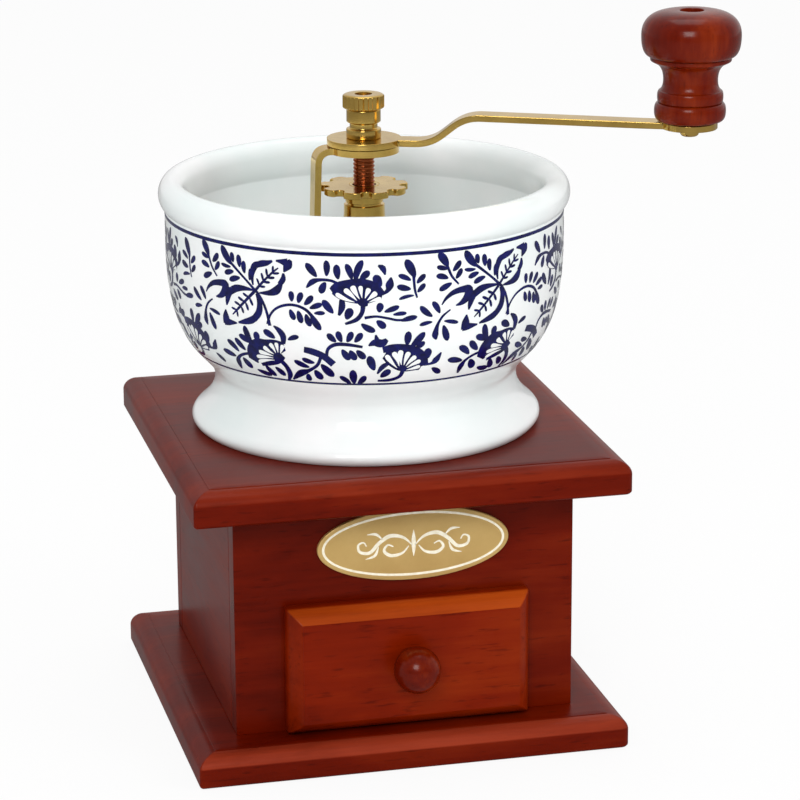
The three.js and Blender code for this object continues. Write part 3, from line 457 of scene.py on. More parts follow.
def edgeWearAndHighlight(piece, profile, sides):  # on the shaped edge only, and differently on each side: partly wear, partly a painted highlight, strongest on the sides where light falls
    quarter = framed['quarter']
    middle = (profile[0][1] + profile[-1][1]) / 2
    near, far = framed['bareMargins']
    inner = profile[-1][0] - framed['flat'] - far
    wear = piece.data.attributes.new('wear', 'FLOAT', 'POINT')
    for row, (inset, level) in enumerate(profile):
        shaped = 1.0 if level > middle and near < inset < inner else 0.0
        for spot in range(4 * quarter):
            corner, step = divmod(spot, quarter)
            share = step / (quarter - 1)
            side = sides[corner] * (1 - share) + sides[(corner + 1) % 4] * share
            wear.data[row * 4 * quarter + spot].value = shaped * side


def bentStrip(name, line, halfWidths, thick, finish, turn=0):
    # line: middle of the strip in plan distance and height; a rectangle is set across it at each point
    vertices = []
    cosine, sine = math.cos(turn), math.sin(turn)
    for spot, (point, half) in enumerate(zip(line, halfWidths)):
        along = (line[min(spot + 1, len(line) - 1)] - line[max(spot - 1, 0)]).normalized() * thick / 2
        for aside, face in ((-half, -1), (half, -1), (half, 1), (-half, 1)):
            distance, level = point.x - along.y * face, point.y + along.x * face
            vertices.append((distance * cosine - aside * sine, distance * sine + aside * cosine, level))
    return meshObject(name, vertices, ringFaces(len(line), 4) + endFaces(len(line), 4), finish)


def bevelled(piece, width, segments=2, limit=40):
    bevel = piece.modifiers.new('softEdges', 'BEVEL')
    bevel.width = mm(width)
    bevel.segments = segments
    bevel.limit_method = 'ANGLE'
    bevel.angle_limit = math.radians(limit)
    normals = piece.modifiers.new('flatNormals', 'WEIGHTED_NORMAL')
    normals.keep_sharp = False
    return piece


def settle(piece, body, slot, *nodes):  # what the piece rides on, and what it stands for
    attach(piece, body)
    if nodes:
        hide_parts(*nodes)


def refined(name, node, finish, width, body, slot):  # the frame's own shape, with its edges eased
    mesh = frame['nodes'][node].data.copy()
    mesh.name = name
    with opened(mesh) as made:
        bmesh.ops.remove_doubles(made, verts=made.verts, dist=mm(0.002))
        bmesh.ops.dissolve_limit(made, angle_limit=math.radians(1), verts=made.verts, edges=made.edges)
    mesh.materials.clear()
    mesh.materials.append(finishes[finish])
    mesh.shade_smooth()
    settle(bevelled(newObject(name, mesh), width), body, slot, node)


def turned(name, node, outline, values, finish, body, slot=None, closed=True, **more):  # a lathe piece
    points = outline.softened(*values['soft'])
    piece = revolve(name, points, values['segments'], finish, closed, **more)
    settle(piece, body, slot or finish, node)


# Geometry Nodes: what repeats round an axis, sits at places or winds up a helix


class ShapeTree(Graph):
    def __init__(self, name, inputs):
        super().__init__(bpy.data.node_groups.new(name, 'GeometryNodeTree'))
        face = self.tree.interface
        face.new_socket('Geometry', in_out='INPUT', socket_type='NodeSocketGeometry')
        for label, kind in inputs.items():
            face.new_socket(label, in_out='INPUT', socket_type='NodeSocket' + kind)
        face.new_socket('Geometry', in_out='OUTPUT', socket_type='NodeSocketGeometry')
        self.start = self.tree.nodes.new('NodeGroupInput')

    def given(self, label):
        return Wire(self, self.start.outputs[label])

    def finishTree(self, geometry):
        real = self.node('GeometryNodeRealizeInstances', {}, {0: geometry})
        coloured = self.node('GeometryNodeSetMaterial', {},
                             {'Geometry': real, 'Material': self.given('Finish')})
        self.node('NodeGroupOutput', {}, {'Geometry': coloured})
        return self.tree


def repeatTree():  # copies of the mesh, turned round the Z axis
    tree = ShapeTree('turnedCopies', {'Count': 'Int', 'Finish': 'Material'})
    count = tree.given('Count')
    index = tree.node('GeometryNodeInputIndex')
    points = tree.node('GeometryNodePoints', {}, {'Count': count})
    angle = index * (2 * math.pi) / count
    turn = tree.node('ShaderNodeCombineXYZ', {}, {'Z': angle})
    copies = tree.node('GeometryNodeInstanceOnPoints', {},
                       {'Points': points, 'Instance': tree.given('Geometry'), 'Rotation': turn})
    return tree.finishTree(copies)


def placesTree():  # one piece at each vertex, each with its own turn
    tree = ShapeTree('piecesAtPlaces', {'Piece': 'Object', 'Seed': 'Int', 'Finish': 'Material'})
    item = tree.node('GeometryNodeObjectInfo', {}, {'Object': tree.given('Piece')}, 'Geometry')
    angle = tree.node('FunctionNodeRandomValue', {'data_type': 'FLOAT'},
                      {2: 0.0, 3: 2 * math.pi, 'Seed': tree.given('Seed')}, 1)
    turn = tree.node('ShaderNodeCombineXYZ', {}, {'Z': angle})
    copies = tree.node('GeometryNodeInstanceOnPoints', {},
                       {'Points': tree.given('Geometry'), 'Instance': item, 'Rotation': turn})
    return tree.finishTree(copies)


def helixTree():  # a round wire wound up the Z axis
    tree = ShapeTree('woundWire', {'Radius': 'Float', 'Wire': 'Float', 'Turns': 'Float', 'Rise': 'Float',
                                   'Base': 'Float', 'Sides': 'Int', 'Finish': 'Material'})
    helix = tree.node('GeometryNodeCurveSpiral', {}, {
        'Resolution': 48, 'Rotations': tree.given('Turns'), 'Start Radius': tree.given('Radius'),
        'End Radius': tree.given('Radius'), 'Height': tree.given('Rise')})
    section = tree.node('GeometryNodeCurvePrimitiveCircle', {},
                        {'Resolution': tree.given('Sides'), 'Radius': tree.given('Wire')})
    wire = tree.node('GeometryNodeCurveToMesh', {},
                     {'Curve': helix, 'Profile Curve': section, 'Fill Caps': True})
    lift = tree.node('ShaderNodeCombineXYZ', {}, {'Z': tree.given('Base')})
    lifted = tree.node('GeometryNodeTransform', {}, {'Geometry': wire, 'Translation': lift})
    smooth = tree.node('GeometryNodeSetShadeSmooth', {}, {'Geometry': lifted, 'Shade Smooth': True})
    return tree.finishTree(smooth)


shapeTrees = {'repeat': repeatTree(), 'places': placesTree(), 'helix': helixTree()}


def applied(piece):  # runs the modifiers and keeps the plain mesh
    bpy.context.view_layer.update()
    depsgraph = bpy.context.evaluated_depsgraph_get()
    mesh = bpy.data.meshes.new_from_object(piece.evaluated_get(depsgraph))
    piece.modifiers.clear()
    oldMesh = piece.data
    piece.data = mesh
    mesh.name = piece.name
    bpy.data.meshes.remove(oldMesh)
    return piece


def grown(piece, tree, **values):
    modifier = piece.modifiers.new('grown', 'NODES')
    modifier.node_group = shapeTrees[tree]
    sockets = {item.name: item.identifier for item in shapeTrees[tree].interface.items_tree}
    for label, value in values.items():
        modifier[sockets[label]] = value
    return applied(piece)


def cutAway(piece, cutter):  # takes the cutter's shape out of the piece for good
    modifier = piece.modifiers.new('cut', 'BOOLEAN')
    modifier.operation = 'DIFFERENCE'
    modifier.solver = 'EXACT'
    modifier.object = cutter
    applied(piece)
    bpy.data.objects.remove(cutter)
    piece.data.set_sharp_from_angle(angle=math.radians(30))


def bored(piece, radius, low, high, x=0, y=0):  # a round hole straight up through the piece
    cutAway(piece, extruded('boreCutter', oval(radius, radius, 48, x, y), low, high, 'steel'))


# Case: routed boards, walls, runners

# Per-side edge values paint a highlight mixed with wear on the top edge: most at the lit front, none on the
# shaded left.
board = {
    'half': 70, 'corners': (3, 3.6, 1.1, 2.4), 'round': 5.35, 'drop': 4.3, 'ledge': 0.6, 'step': 0.16,
    'foot': 0.7, 'wear': {'base_board': (0.6, 0.6, 0, 2.2), 'top_board': (0.6, 0.6, 0, 0.8)},
    'chute': 21, 'screwWell': 3.75, 'wellDepth': 2.9,
}


def levelsOf(node):  # a node's lowest and highest corner, in millimetres
    low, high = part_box(node)
    return [c * 1000 for c in low], [c * 1000 for c in high]


def heightsOf(node):
    low, high = levelsOf(node)
    return low[2], high[2]


def middleOf(node):
    return [(low + high) / 2 for low, high in zip(*levelsOf(node))]


def routedProfile(thick, edge):
    face = thick - edge['step']
    roundLevel = face - edge['drop']
    outline = Outline((max(edge['corners']) + 2, 0), (edge['foot'], 0), (0, edge['foot']), (0, roundLevel))
    if 'bulge' in edge:
        pull = (1 - edge['bulge']) / 2
        outline.curve(edge['round'] * pull, face - edge['drop'] * pull, edge['round'], face, 8)
    else:
        outline.arc(edge['round'], roundLevel, edge['round'], edge['drop'], 180, 90, 14)
    inset = edge['round'] + edge['ledge']
    outline.line((inset, face), (inset, thick), (inset + framed['flat'], thick))
    return outline.softened(framed['soft'])


def caseBoards():
    for name, node in (('baseBoardRouted', 'base_board'), ('topBoardRouted', 'top_board')):
        low, high = heightsOf(node)
        profile = [(inset, low + level) for inset, level in routedProfile(high - low, board)]
        piece = framedBlock(name, profile, (board['half'],) * 2, board, 'caseX', board['wear'][node])
        if node == 'top_board':
            bored(piece, board['chute'], low - 1, high + 1)
        else:
            for number in range(1, 5):
                x, y, level = middleOf(f'base_screw_{number}')
                bored(piece, board['screwWell'], -1, board['wellDepth'], x, y)
        settle(piece, 'case', 'case_wood', node)


def caseWalls():
    for node, finish in (('front_panel', 'caseX'), ('back_panel', 'caseX'), ('left_panel', 'caseY'),
                         ('right_panel', 'caseY')):
        refined(node.replace('_panel', 'Wall'), node, finish, 0.35, 'case', 'case_wood')
    for node in ('left_runner', 'right_runner'):
        refined(node.replace('_runner', 'Runner'), node, 'plainY', 0.3, 'case', 'plain_wood')


caseBoards()
caseWalls()
print('case built')


# Drawer

# Its per-side edge values paint a highlight mixed with wear, mostly on the top edge, which catches the light
# from above.
drawerFace = {'corners': (0.6,) * 4, 'round': 4.2, 'drop': 5.2, 'ledge': 0.2, 'step': 0.12, 'foot': 0.3,
              'bulge': 0.3, 'wear': (0.02, 0.9, 0.06, 0.02)}
drawerKnob = {'radius': 7.5, 'neck': 4.2, 'neckRound': (0.2, 0.7), 'foot': 5.6, 'footThick': 1.2,
              'footEdge': 0.72, 'seat': 0.05, 'reach': 13.97, 'soft': 0.25, 'segments': 72}


def drawerPieces():
    low, high = levelsOf('drawer_front')
    middle = middleOf('drawer_front')
    half = ((high[0] - low[0]) / 2, (high[2] - low[2]) / 2)
    front = framedBlock('drawerFace', routedProfile(high[1] - low[1], drawerFace), half, drawerFace, 'drawer',
                        drawerFace['wear'], lambda x, y, z: (middle[0] + x, high[1] - z, middle[2] + y))
    settle(front, 'drawer', 'drawer_wood', 'drawer_front')
    for node, finish in (('drawer_left', 'plainY'), ('drawer_right', 'plainY'), ('drawer_back', 'plainX'),
                         ('drawer_bottom', 'plainX')):
        name = 'drawer' + node.split('_')[1].capitalize() + 'Board'
        refined(name, node, finish, 0.3, 'drawer', 'plain_wood')


def drawerKnobPieces():
    node = 'drawer_knob'
    values = drawerKnob
    foot, neck, radius, seat, thick = some(values, 'foot neck radius seat footThick')
    roundIn, roundUp = values['neckRound']
    outline = Outline((0, seat), (foot, seat), (foot, values['footEdge']))
    outline.curve(neck, thick, neck - roundIn, thick + roundUp, 5)
    meet = math.degrees(math.asin(neck / radius))
    outline.arc(0, values['reach'] - radius, radius, radius, meet - 90, 90, 28)
    knob = revolve('drawerKnobBall', outline.softened(values['soft']), values['segments'], 'knobY')
    back, middle = mm(levelsOf(node)[1][1]), mm(middleOf(node)[2])
    for vertex in knob.data.vertices:
        x, y, z = vertex.co
        vertex.co = (x, back - z, y + middle)
    with opened(knob.data) as made:
        bmesh.ops.recalc_face_normals(made, faces=made.faces)
    settle(knob, 'drawer', 'drawer_wood', node)
    refined('drawerKnobScrew', 'drawer_knob_screw', 'steel', 0.15, 'drawer', 'steel')


drawerPieces()
drawerKnobPieces()
print('drawer built')


# Porcelain hopper

bowl = {
    'footRadius': 55.2, 'footLift': 2.5, 'footWidth': 6, 'lipRadius': 57.2, 'lipHeight': 5.1,
    'lipNeck': 55.5, 'coveStart': 1.4, 'coveFlare': 1.2, 'covePull': 5.5, 'waistRadius': 49.1,
    'waistHeight': 15.8, 'waistPull': 10, 'bellyRadius': 64.2, 'bellyHeight': 59.8, 'bellyPull': 37.5,
    'wall': 4.8, 'shoulder': 70.8, 'rimRadius': 66.2, 'rimHalfWidth': 4.35, 'rimHalfHeight': 5.3,
    'rimStart': -62, 'floor': 7.5, 'floorCorner': 7.5, 'hole': 20.3, 'soft': (0.6, 20, 4), 'segments': 192,
}


def bowlSide(outline, inset, steps, upward=True):  # the wall's swelling curve from waist to belly, or back
    base = heightsOf('hopper_bowl')[0]
    low, high = base + bowl['waistHeight'], base + bowl['bellyHeight']
    waist, belly = bowl['waistRadius'] - inset, bowl['bellyRadius'] - inset
    points = [(waist, low + bowl['waistPull']), (belly, high - bowl['bellyPull']), (belly, high)]
    if not upward:
        points = [points[1], points[0], (waist, low)]
    outline.cubic(*points[0], *points[1], *points[2], steps)


def bowlOutline():
    values = bowl
    base = heightsOf('hopper_bowl')[0]
    lip, waist, belly, shoulder, under, floor = [base + height for height in some(
        values, 'lipHeight waistHeight bellyHeight shoulder footLift floor')]
    hole, foot, neck, flare, wall = some(values, 'hole footRadius lipNeck coveFlare wall')
    waistRadius, bellyRadius, rimWide, rimHigh = some(
        values, 'waistRadius bellyRadius rimHalfWidth rimHalfHeight')
    heel, innerBelly, innerWaist = foot - values['footWidth'], bellyRadius - wall, waistRadius - wall
    middle = values['rimRadius'] - rimWide
    outline = Outline((hole, under), (heel, under), (heel, base), (foot, base))
    outline.curve(values['lipRadius'] + flare, (base + lip) / 2, neck, lip, 10)
    outline.cubic(neck - values['coveStart'], lip + flare, waistRadius, waist - values['covePull'],
                  waistRadius, waist, 12)
    bowlSide(outline, 0, 34)
    outline.line((bellyRadius, (belly + shoulder) / 2), (bellyRadius, shoulder))
    outline.arc(middle, shoulder + rimHigh, rimWide, rimHigh, values['rimStart'], 180, 30)
    outline.curve(middle - rimWide, shoulder + 1, innerBelly, shoulder - wall / 2, 8)
    outline.line((innerBelly, belly))
    bowlSide(outline, wall, 24, False)
    outline.curve(innerWaist, floor, innerWaist - values['floorCorner'], floor, 10)
    outline.line((hole, floor))
    return outline


def hopper():
    turned('hopperPorcelain', 'hopper_bowl', bowlOutline(), bowl, 'porcelain', 'case', smoothAngle=50)


hopper()
print('hopper built')


# Blue pattern and rings on the hopper's skin

motifs = {  # leaves and petals: base, tip and width; stems: points, then widths; on the unrolled skin
    'uprightSprig': {
        'leaves': [(15.4, 38.6, 12.5, 44.4, 2.6), (14.1, 37.8, 10.2, 39.6, 1.5), (14.1, 35.1, 9.8, 36.2, 1.8),
                   (15.1, 33, 10.4, 32, 1), (16, 36.8, 18.7, 39.4, 1.6), (16.2, 34, 18.6, 36.5, 1.5)],
        'stems': [
            ([(14.9, 41.1), (15.1, 37.4), (15.4, 34.6), (16.1, 32.2)], [0.9, 0.7, 0.6, 0.4]),
        ],
    },
    'leaningSprig': {
        'leaves': [(26.1, 41, 22.9, 45.6, 2.5), (26, 40.4, 22.4, 41.4, 1.4), (26.2, 37.4, 22.2, 38.5, 1.7),
                   (27.4, 35.8, 23.2, 33.9, 1.8), (27.8, 39.6, 30.4, 42.6, 1.8),
                   (28.8, 37.1, 30.8, 40.1, 1.6)],
        'stems': [
            ([(25.2, 43), (26.5, 39.9), (27.6, 37.7), (29.8, 35.2)], [0.9, 0.7, 0.6, 0.4]),
        ],
    },
    'crescent': {
        'stems': [
            ([(24.1, 29.2), (25.6, 31.2), (28.1, 32.8), (31.5, 33.4), (33.5, 33), (32.8, 30.8), (31, 29.2),
              (28.9, 28.5)], [0.2, 0.9, 1.5, 2, 2.6, 2.5, 1.5, 0.2]),
        ],
    },
    'burstSprig': {
        'leaves': [(24.9, 22.5, 26.8, 17.1, 2.1), (21.1, 25.8, 17.1, 29.4, 1.8), (23.5, 26.6, 21, 30.5, 1.7),
                   (21.1, 24, 17, 23.2, 1.2), (25.1, 23.9, 30, 22.8, 1.2)],
        'stems': [
            ([(27.1, 27.4), (24.6, 25.6), (23.1, 23.3), (22.5, 21.1), (22.3, 19.4), (22.8, 17.9)],
             [0.3, 0.6, 0.8, 1.5, 2, 0.3]),
        ],
    },
    'bigStem': {
        'leaves': [(36.4, 40, 32.1, 45.5, 2.5), (36.9, 40.8, 36.2, 43.9, 1.6), (39.4, 39.6, 38.9, 43.5, 1.8),
                   (41.4, 37.9, 41.1, 41.8, 1.7), (43.1, 36, 43.6, 39.8, 1.6), (35.8, 39.2, 31.8, 39.6, 1.1),
                   (37, 37.9, 33.2, 36.8, 1.6), (39.5, 36.2, 35.2, 34.8, 1.7)],
        'stems': [
            ([(35, 41.2), (38.1, 38.8), (41.9, 35.8), (45.9, 32.4)], [0.8, 0.7, 0.6, 0.8]),
            ([(45.8, 32.6), (47.8, 29.6), (49.1, 26.1), (49.8, 22.1)], [0.9, 0.8, 0.8, 1]),
        ],
    },
    'archedBranch': {
        'leaves': [(-16.8, 27.2, -13.8, 22.2, 2.1), (-23, 30.8, -23.2, 34.1, 1.7),
                   (-20.8, 30.5, -19.5, 33.9, 1.8), (-18.9, 30.1, -16.2, 33.1, 1.8),
                   (-17.2, 29, -13.2, 30.6, 1.6), (-15.8, 27.5, -12.4, 27.7, 1.2),
                   (-23.6, 28.2, -22.2, 24.9, 1.8), (-21, 28, -20, 24, 1.9), (-18.4, 27.1, -17, 23.2, 1.9)],
        'stems': [
            ([(-31.6, 22.5), (-30.6, 25.5), (-28.2, 28.1), (-24.8, 29.5), (-21.4, 29.6), (-18.2, 28.3),
              (-15.8, 25.6)], [0.9, 0.6, 0.6, 0.7, 0.7, 0.8, 1]),
        ],
    },
    'upperLeaf': {
        'leaves': [(-34, 34.6, -34.9, 36.9, 0.6), (-32.5, 36.1, -33.2, 38.8, 0.7),
                   (-30.9, 37.7, -31.4, 40.4, 0.7), (-29.2, 39.2, -29, 41.5, 0.6),
                   (-34.1, 34.5, -31.8, 34.6, 0.6), (-32.6, 36, -30.1, 36.1, 0.7),
                   (-31.1, 37.5, -28.5, 37.8, 0.7), (-29.4, 39.1, -26.9, 39.4, 0.6)],
        'stems': [
            ([(-35.8, 32.6), (-32.5, 36.2), (-29.2, 39.4), (-27.2, 41)], [0.8, 0.6, 0.5, 0.2]),
            ([(-36.2, 34.6), (-36.6, 37.7), (-35.6, 40.6), (-34.1, 41.5)], [0.3, 1.4, 2.1, 1.6]),
            ([(-35.2, 41), (-32.9, 41.8), (-31.1, 42.2), (-29.2, 43)], [1.6, 1.9, 1.5, 0.5]),
            ([(-25.6, 39.5), (-25.6, 37.7), (-26.9, 35.8)], [0.5, 1.6, 1.4]),
            ([(-26.4, 36), (-27.9, 33.9), (-30.4, 32.8), (-34, 32.4)], [1.2, 2.4, 1.6, 0.3]),
            ([(-28, 43.2), (-26.1, 43.1), (-24.4, 42.8)], [0.4, 1.4, 2.8]),
            ([(-23, 43.8), (-24, 42.2), (-25.4, 39.9)], [0.8, 2.8, 0.3]),
        ],
    },
    'lowerLeaf': {
        'leaves': [(-37.9, 30.5, -40.2, 31.5, 0.7), (-39.7, 28.8, -42.2, 30, 0.8),
                   (-41.4, 27.2, -43.8, 28.2, 0.7), (-43, 25.6, -45.2, 26.1, 0.6),
                   (-37.8, 30.5, -36.6, 27.9, 0.8), (-39.5, 28.8, -38.5, 26.1, 0.8),
                   (-41.2, 27.1, -40.4, 24.9, 0.7), (-42.9, 25.5, -42.8, 23.4, 0.6)],
        'stems': [
            ([(-35.8, 32.6), (-39.5, 29), (-42.6, 26), (-45, 23.8)], [0.9, 0.7, 0.6, 0.2]),
            ([(-36.1, 33), (-39.8, 33.1), (-42.9, 32.6), (-45.4, 31.2)], [0.4, 1.4, 2.2, 2.1]),
            ([(-44.8, 32), (-46.1, 30.2), (-46.8, 28.1), (-47.2, 26.5)], [1.9, 2.1, 1.4, 0.3]),
            ([(-35.2, 32), (-34.1, 29.2), (-34.5, 26.1), (-36.6, 23.5)], [0.4, 1.6, 2.1, 1.9]),
            ([(-35.1, 25), (-37.3, 23.2), (-40.1, 22.2), (-42.9, 21.5)], [1.4, 2.1, 1.6, 0.4]),
            ([(-47.8, 25), (-48, 22.7), (-48, 20.2)], [0.3, 2.5, 2.9]),
            ([(-49.1, 20.8), (-47, 21), (-43.5, 21.2)], [2.1, 2.1, 0.3]),
        ],
    },
    'fanFlower': {
        'leaves': [(-2.9, 38, -0.6, 44.6, 2.1), (-4, 38.5, -5.8, 43.4, 1.9), (-1.5, 38.6, 1.4, 41.2, 2),
                   (-8.1, 38.6, -8.6, 43.2, 2.1), (-11.8, 39.5, -11.9, 44.4, 1.9),
                   (-14.8, 39.1, -18.2, 43.2, 2.1), (-12, 37.5, -13.5, 33.9, 2.1),
                   (-9.8, 27.8, -13, 31.9, 2.2), (5, 36.4, 3.1, 40, 2.5), (-5.8, 25.9, -4.2, 29.5, 2.5)],
        'petals': [(-3.2, 31.5, -8.9, 34.1, 1.4), (-2.5, 32, -6.3, 35.5, 1.6), (-1.7, 32.5, -3.9, 36.6, 1.7),
                   (-0.9, 32.8, -1.4, 36.6, 1.3), (0, 32.7, 1.3, 35.8, 1.5), (0.7, 32.1, 3.5, 34.5, 1.6),
                   (1.2, 31.4, 4.9, 32.6, 1.1)],
        'stems': [
            ([(-7.5, 36.8), (-10.4, 38.1), (-14, 38.2), (-16.3, 37.4), (-18.1, 35.5)],
             [0.8, 0.7, 0.9, 1.6, 0.3]),
            ([(-10.4, 35), (-8.5, 36.1), (-4.8, 37), (-1, 37.2), (2.8, 36.1), (5.4, 33.9)],
             [1.4, 2.8, 3, 3.2, 2.9, 1.6]),
            ([(-9.9, 34.8), (-6.6, 34), (-1.9, 34.1), (2.1, 34), (5.2, 33.2)], [1.6, 4.1, 6.2, 5.4, 1.9]),
            ([(-2.2, 31.9), (-0.6, 31.2), (0.9, 31)], [1.2, 2.5, 1.2]),
            ([(5.2, 33.8), (6.9, 35), (7.6, 36.9), (8, 39.1)], [0.6, 1.2, 2.4, 0.3]),
            ([(4, 42.9), (5.5, 42), (6.2, 39.9)], [0.4, 1.7, 0.3]),
            ([(-7.1, 32.2), (-7.1, 29.8), (-8.1, 27.1)], [1.4, 1.9, 0.6]),
            ([(-0.6, 31.1), (-0.9, 28.3), (-2.6, 25.9), (-6.2, 24.4)], [1.4, 1.2, 1.2, 0.6]),
        ],
    },
    'trailingSprig': {
        'leaves': [(4.4, 28.1, 5, 31.1, 2.1), (5.9, 28.2, 10.5, 29.8, 1.6), (8.6, 27.2, 12.8, 27.5, 1.2),
                   (-1.2, 24.5, 3.1, 22, 2), (3.5, 25.4, 6.2, 22.9, 2.1), (11, 25.1, 16.2, 26.1, 1.6)],
        'stems': [
            ([(-0.2, 26.4), (3.4, 26.8), (7.1, 26.1), (9.9, 25.4), (13.4, 25.4)], [0.8, 0.6, 0.6, 0.6, 0.6]),
        ],
    },
    'leaningFlower': {
        'leaves': [(-38.5, 15.2, -40.6, 20.8, 2.2), (-36.4, 16, -36, 19.4, 2.2),
                   (-29.5, 18.1, -33.5, 20.2, 2.2), (-38.9, 15.2, -43.5, 17.2, 2.1),
                   (-41.9, 12.1, -45.5, 15.8, 2.1), (-45.1, 11, -49.4, 14.4, 2.1),
                   (-47.2, 8.9, -52.9, 10.1, 2.1), (-44.1, 8.9, -41.4, 5.1, 2.6), (-39.6, 4.8, -34, 3.4, 2),
                   (-35.2, 7.5, -32.2, 3.2, 2.2), (-31.5, 7.2, -28.6, 3.8, 2.2)],
        'petals': [(-31, 10, -37.6, 8.4, 1.3), (-31.3, 10.8, -37.8, 10.4, 1.4),
                   (-31.2, 11.6, -36.4, 12.5, 1.5), (-30.8, 12.4, -34.2, 14.6, 1.6),
                   (-30, 12.9, -31.7, 16, 1.5), (-29.1, 13.1, -29.3, 16.6, 1.3),
                   (-28.3, 12.9, -26.9, 16, 1.4)],
        'stems': [
            ([(-26.8, 16.4), (-26.6, 19.1), (-27.9, 21), (-29.6, 22.2)], [1.2, 2, 1.6, 0.3]),
            ([(-39.8, 11.2), (-43.1, 10.4), (-45.9, 8.8), (-47.1, 6.5), (-47.4, 3.6)],
             [0.8, 0.8, 1, 2.1, 0.5]),
            ([(-39.8, 8.5), (-38.2, 11.4), (-35.8, 13.3), (-32.9, 13.9), (-29.5, 14.9), (-26.5, 15.5)],
             [3.4, 6.5, 7.4, 6.5, 5.2, 2.8]),
            ([(-37, 8.6), (-33.2, 9.6), (-30.1, 10.8), (-27.9, 12.6)], [3.5, 3.8, 3.9, 3.1]),
            ([(-29, 10.6), (-27.1, 8), (-26.5, 4.9), (-27.9, 1.9)], [1.6, 1.6, 1.8, 0.6]),
        ],
    },
    'looseLeaf': {
        'leaves': [(-25, 18, -21.2, 19.4, 1.5)],
    },
    'crossedSprig': {
        'leaves': [(-18.8, 8.6, -23.8, 10.8, 1.9), (-16.8, 10.5, -20.9, 11.8, 1.7),
                   (-19.6, 5.8, -19.8, 2.5, 2), (-17, 7.6, -15.1, 3.6, 2.6), (-14.6, 10.1, -10.8, 5.2, 2.8)],
        'stems': [
            ([(-19.9, 15.1), (-17, 14.5), (-13.6, 13.1), (-10.5, 10.2)], [1.9, 2.2, 2.2, 2.4]),
            ([(-14.6, 12.4), (-16, 9.6), (-18.9, 7.4), (-22.3, 5.8), (-26, 2.5)], [0.9, 0.9, 1.1, 2.4, 0.4]),
        ],
    },
    'archedSprig': {
        'leaves': [(-9.2, 18.4, -11.8, 21.1, 1.9), (-7.4, 18.4, -8.5, 22, 1.9), (-5.8, 18.4, -4.2, 21.9, 1.9),
                   (-3.4, 18.4, -1.1, 21.5, 1.9), (-7.4, 15.8, -5, 12.1, 2.2), (-4.9, 15.5, -3, 12.1, 2.2),
                   (-2.8, 15.5, -0.1, 12.5, 2.2)],
        'stems': [
            ([(-12.6, 13), (-11.9, 15.8), (-9.5, 17.4), (-5.8, 17.5), (-0.9, 16.7)], [0.9, 0.9, 1.1, 1, 0.7]),
        ],
    },
    'tripleLeaf': {
        'leaves': [(-4, 2, -4.2, 8.2, 2.5), (-5.2, 1.9, -8.8, 5.4, 1.9), (-2.8, 1.9, -0.2, 5.8, 2.1)],
    },
    'bowedFlower': {
        'leaves': [(13.2, 16.8, 13.5, 21.5, 2.2), (14.4, 16, 18.8, 20.8, 2.2), (16, 15.4, 19, 17.5, 1.8),
                   (20.6, 11.5, 20.5, 15.2, 2.5), (2.9, 8, 1.2, 13.5, 2.6), (5, 5, 8.2, 8, 2.4),
                   (22.5, 7.6, 26, 4.9, 1.9)],
        'petals': [(10.4, 8.7, 6.6, 13.7, 1.6), (11, 9.4, 8.8, 14.6, 1.7), (11.8, 9.8, 11.3, 15.2, 1.8),
                   (12.6, 9.7, 14, 14.4, 1.7), (13.3, 9.2, 16.4, 12.7, 1.6), (13.7, 8.5, 18.1, 10.9, 1.5),
                   (13.6, 7.6, 18.2, 8.8, 1.3)],
        'stems': [
            ([(5.5, 15.5), (8.4, 16), (12.1, 15.8), (15.9, 14.6), (18.6, 12.1), (19.5, 8.8)],
             [1.9, 2.6, 2.8, 3, 3, 2.8]),
            ([(6.2, 13.9), (9, 12.4), (12.4, 11.1), (15.9, 10.2), (18.8, 8.9)], [2.9, 5.8, 7.6, 6.5, 3.5]),
            ([(19.5, 9.2), (22, 9.4), (23.5, 10.6), (25, 13.2)], [0.8, 0.9, 2.2, 0.3]),
            ([(1, 17.1), (2.8, 18.1), (5.2, 17.9), (6.8, 19.1)], [0.3, 2.1, 2.6, 1.1]),
            ([(3.2, 20.8), (3.6, 19.1), (4, 17.4)], [0.3, 1.4, 1.1]),
            ([(7.2, 10.5), (5.4, 9.1), (3.9, 6.5)], [1.2, 1.6, 0.4]),
            ([(12.5, 8), (11.6, 5.1), (8.5, 3.6), (4.1, 3.4)], [1.4, 1.2, 1.2, 0.8]),
        ],
    },
}


skin = {'turn': -102.94, 'radius': 64.2, 'low': 122, 'lift': 0.05, 'petalLift': 0.1, 'sink': 0.02,
        'repeats': 5, 'step': 0.55, 'across': 1.1, 'spread': 0.2, 'bow': 0.07, 'seed': 7,
        'rings': ((1.05, 2.2), (-1.25, -0.02)), 'ringSteps': 6}


def skinTable():  # radius, level and distance up the skin, from the waist to the shoulder
    base = heightsOf('hopper_bowl')[0]
    outline = Outline((bowl['waistRadius'], base + bowl['waistHeight']))
    bowlSide(outline, 0, 240)
    outline.line((bowl['bellyRadius'], base + bowl['shoulder']))
    table = [(outline.points[0], 0)]
    for point in outline.points[1:]:
        table.append((point, table[-1][1] + (point - table[-1][0]).length))
    start = next(distance for point, distance in table if point.y >= skin['low'])
    return [(point.x, point.y, distance - start) for point, distance in table]


skinRows = skinTable()


def skinSpot(around, up, lift):  # a place on the skin, lifted along its normal
    index = next((i for i, row in enumerate(skinRows) if row[2] >= up), len(skinRows) - 1)
    index = max(index, 1)
    (r0, z0, d0), (r1, z1, d1) = skinRows[index - 1], skinRows[index]
    share = min((up - d0) / (d1 - d0), 1)
    radius, level = r0 + (r1 - r0) * share, z0 + (z1 - z0) * share
    along = Vector((r1 - r0, z1 - z0)).normalized()
    radius += along.y * lift
    level -= along.x * lift
    angle = math.radians(skin['turn']) + around / skin['radius']
    return radius * math.cos(angle), radius * math.sin(angle), level


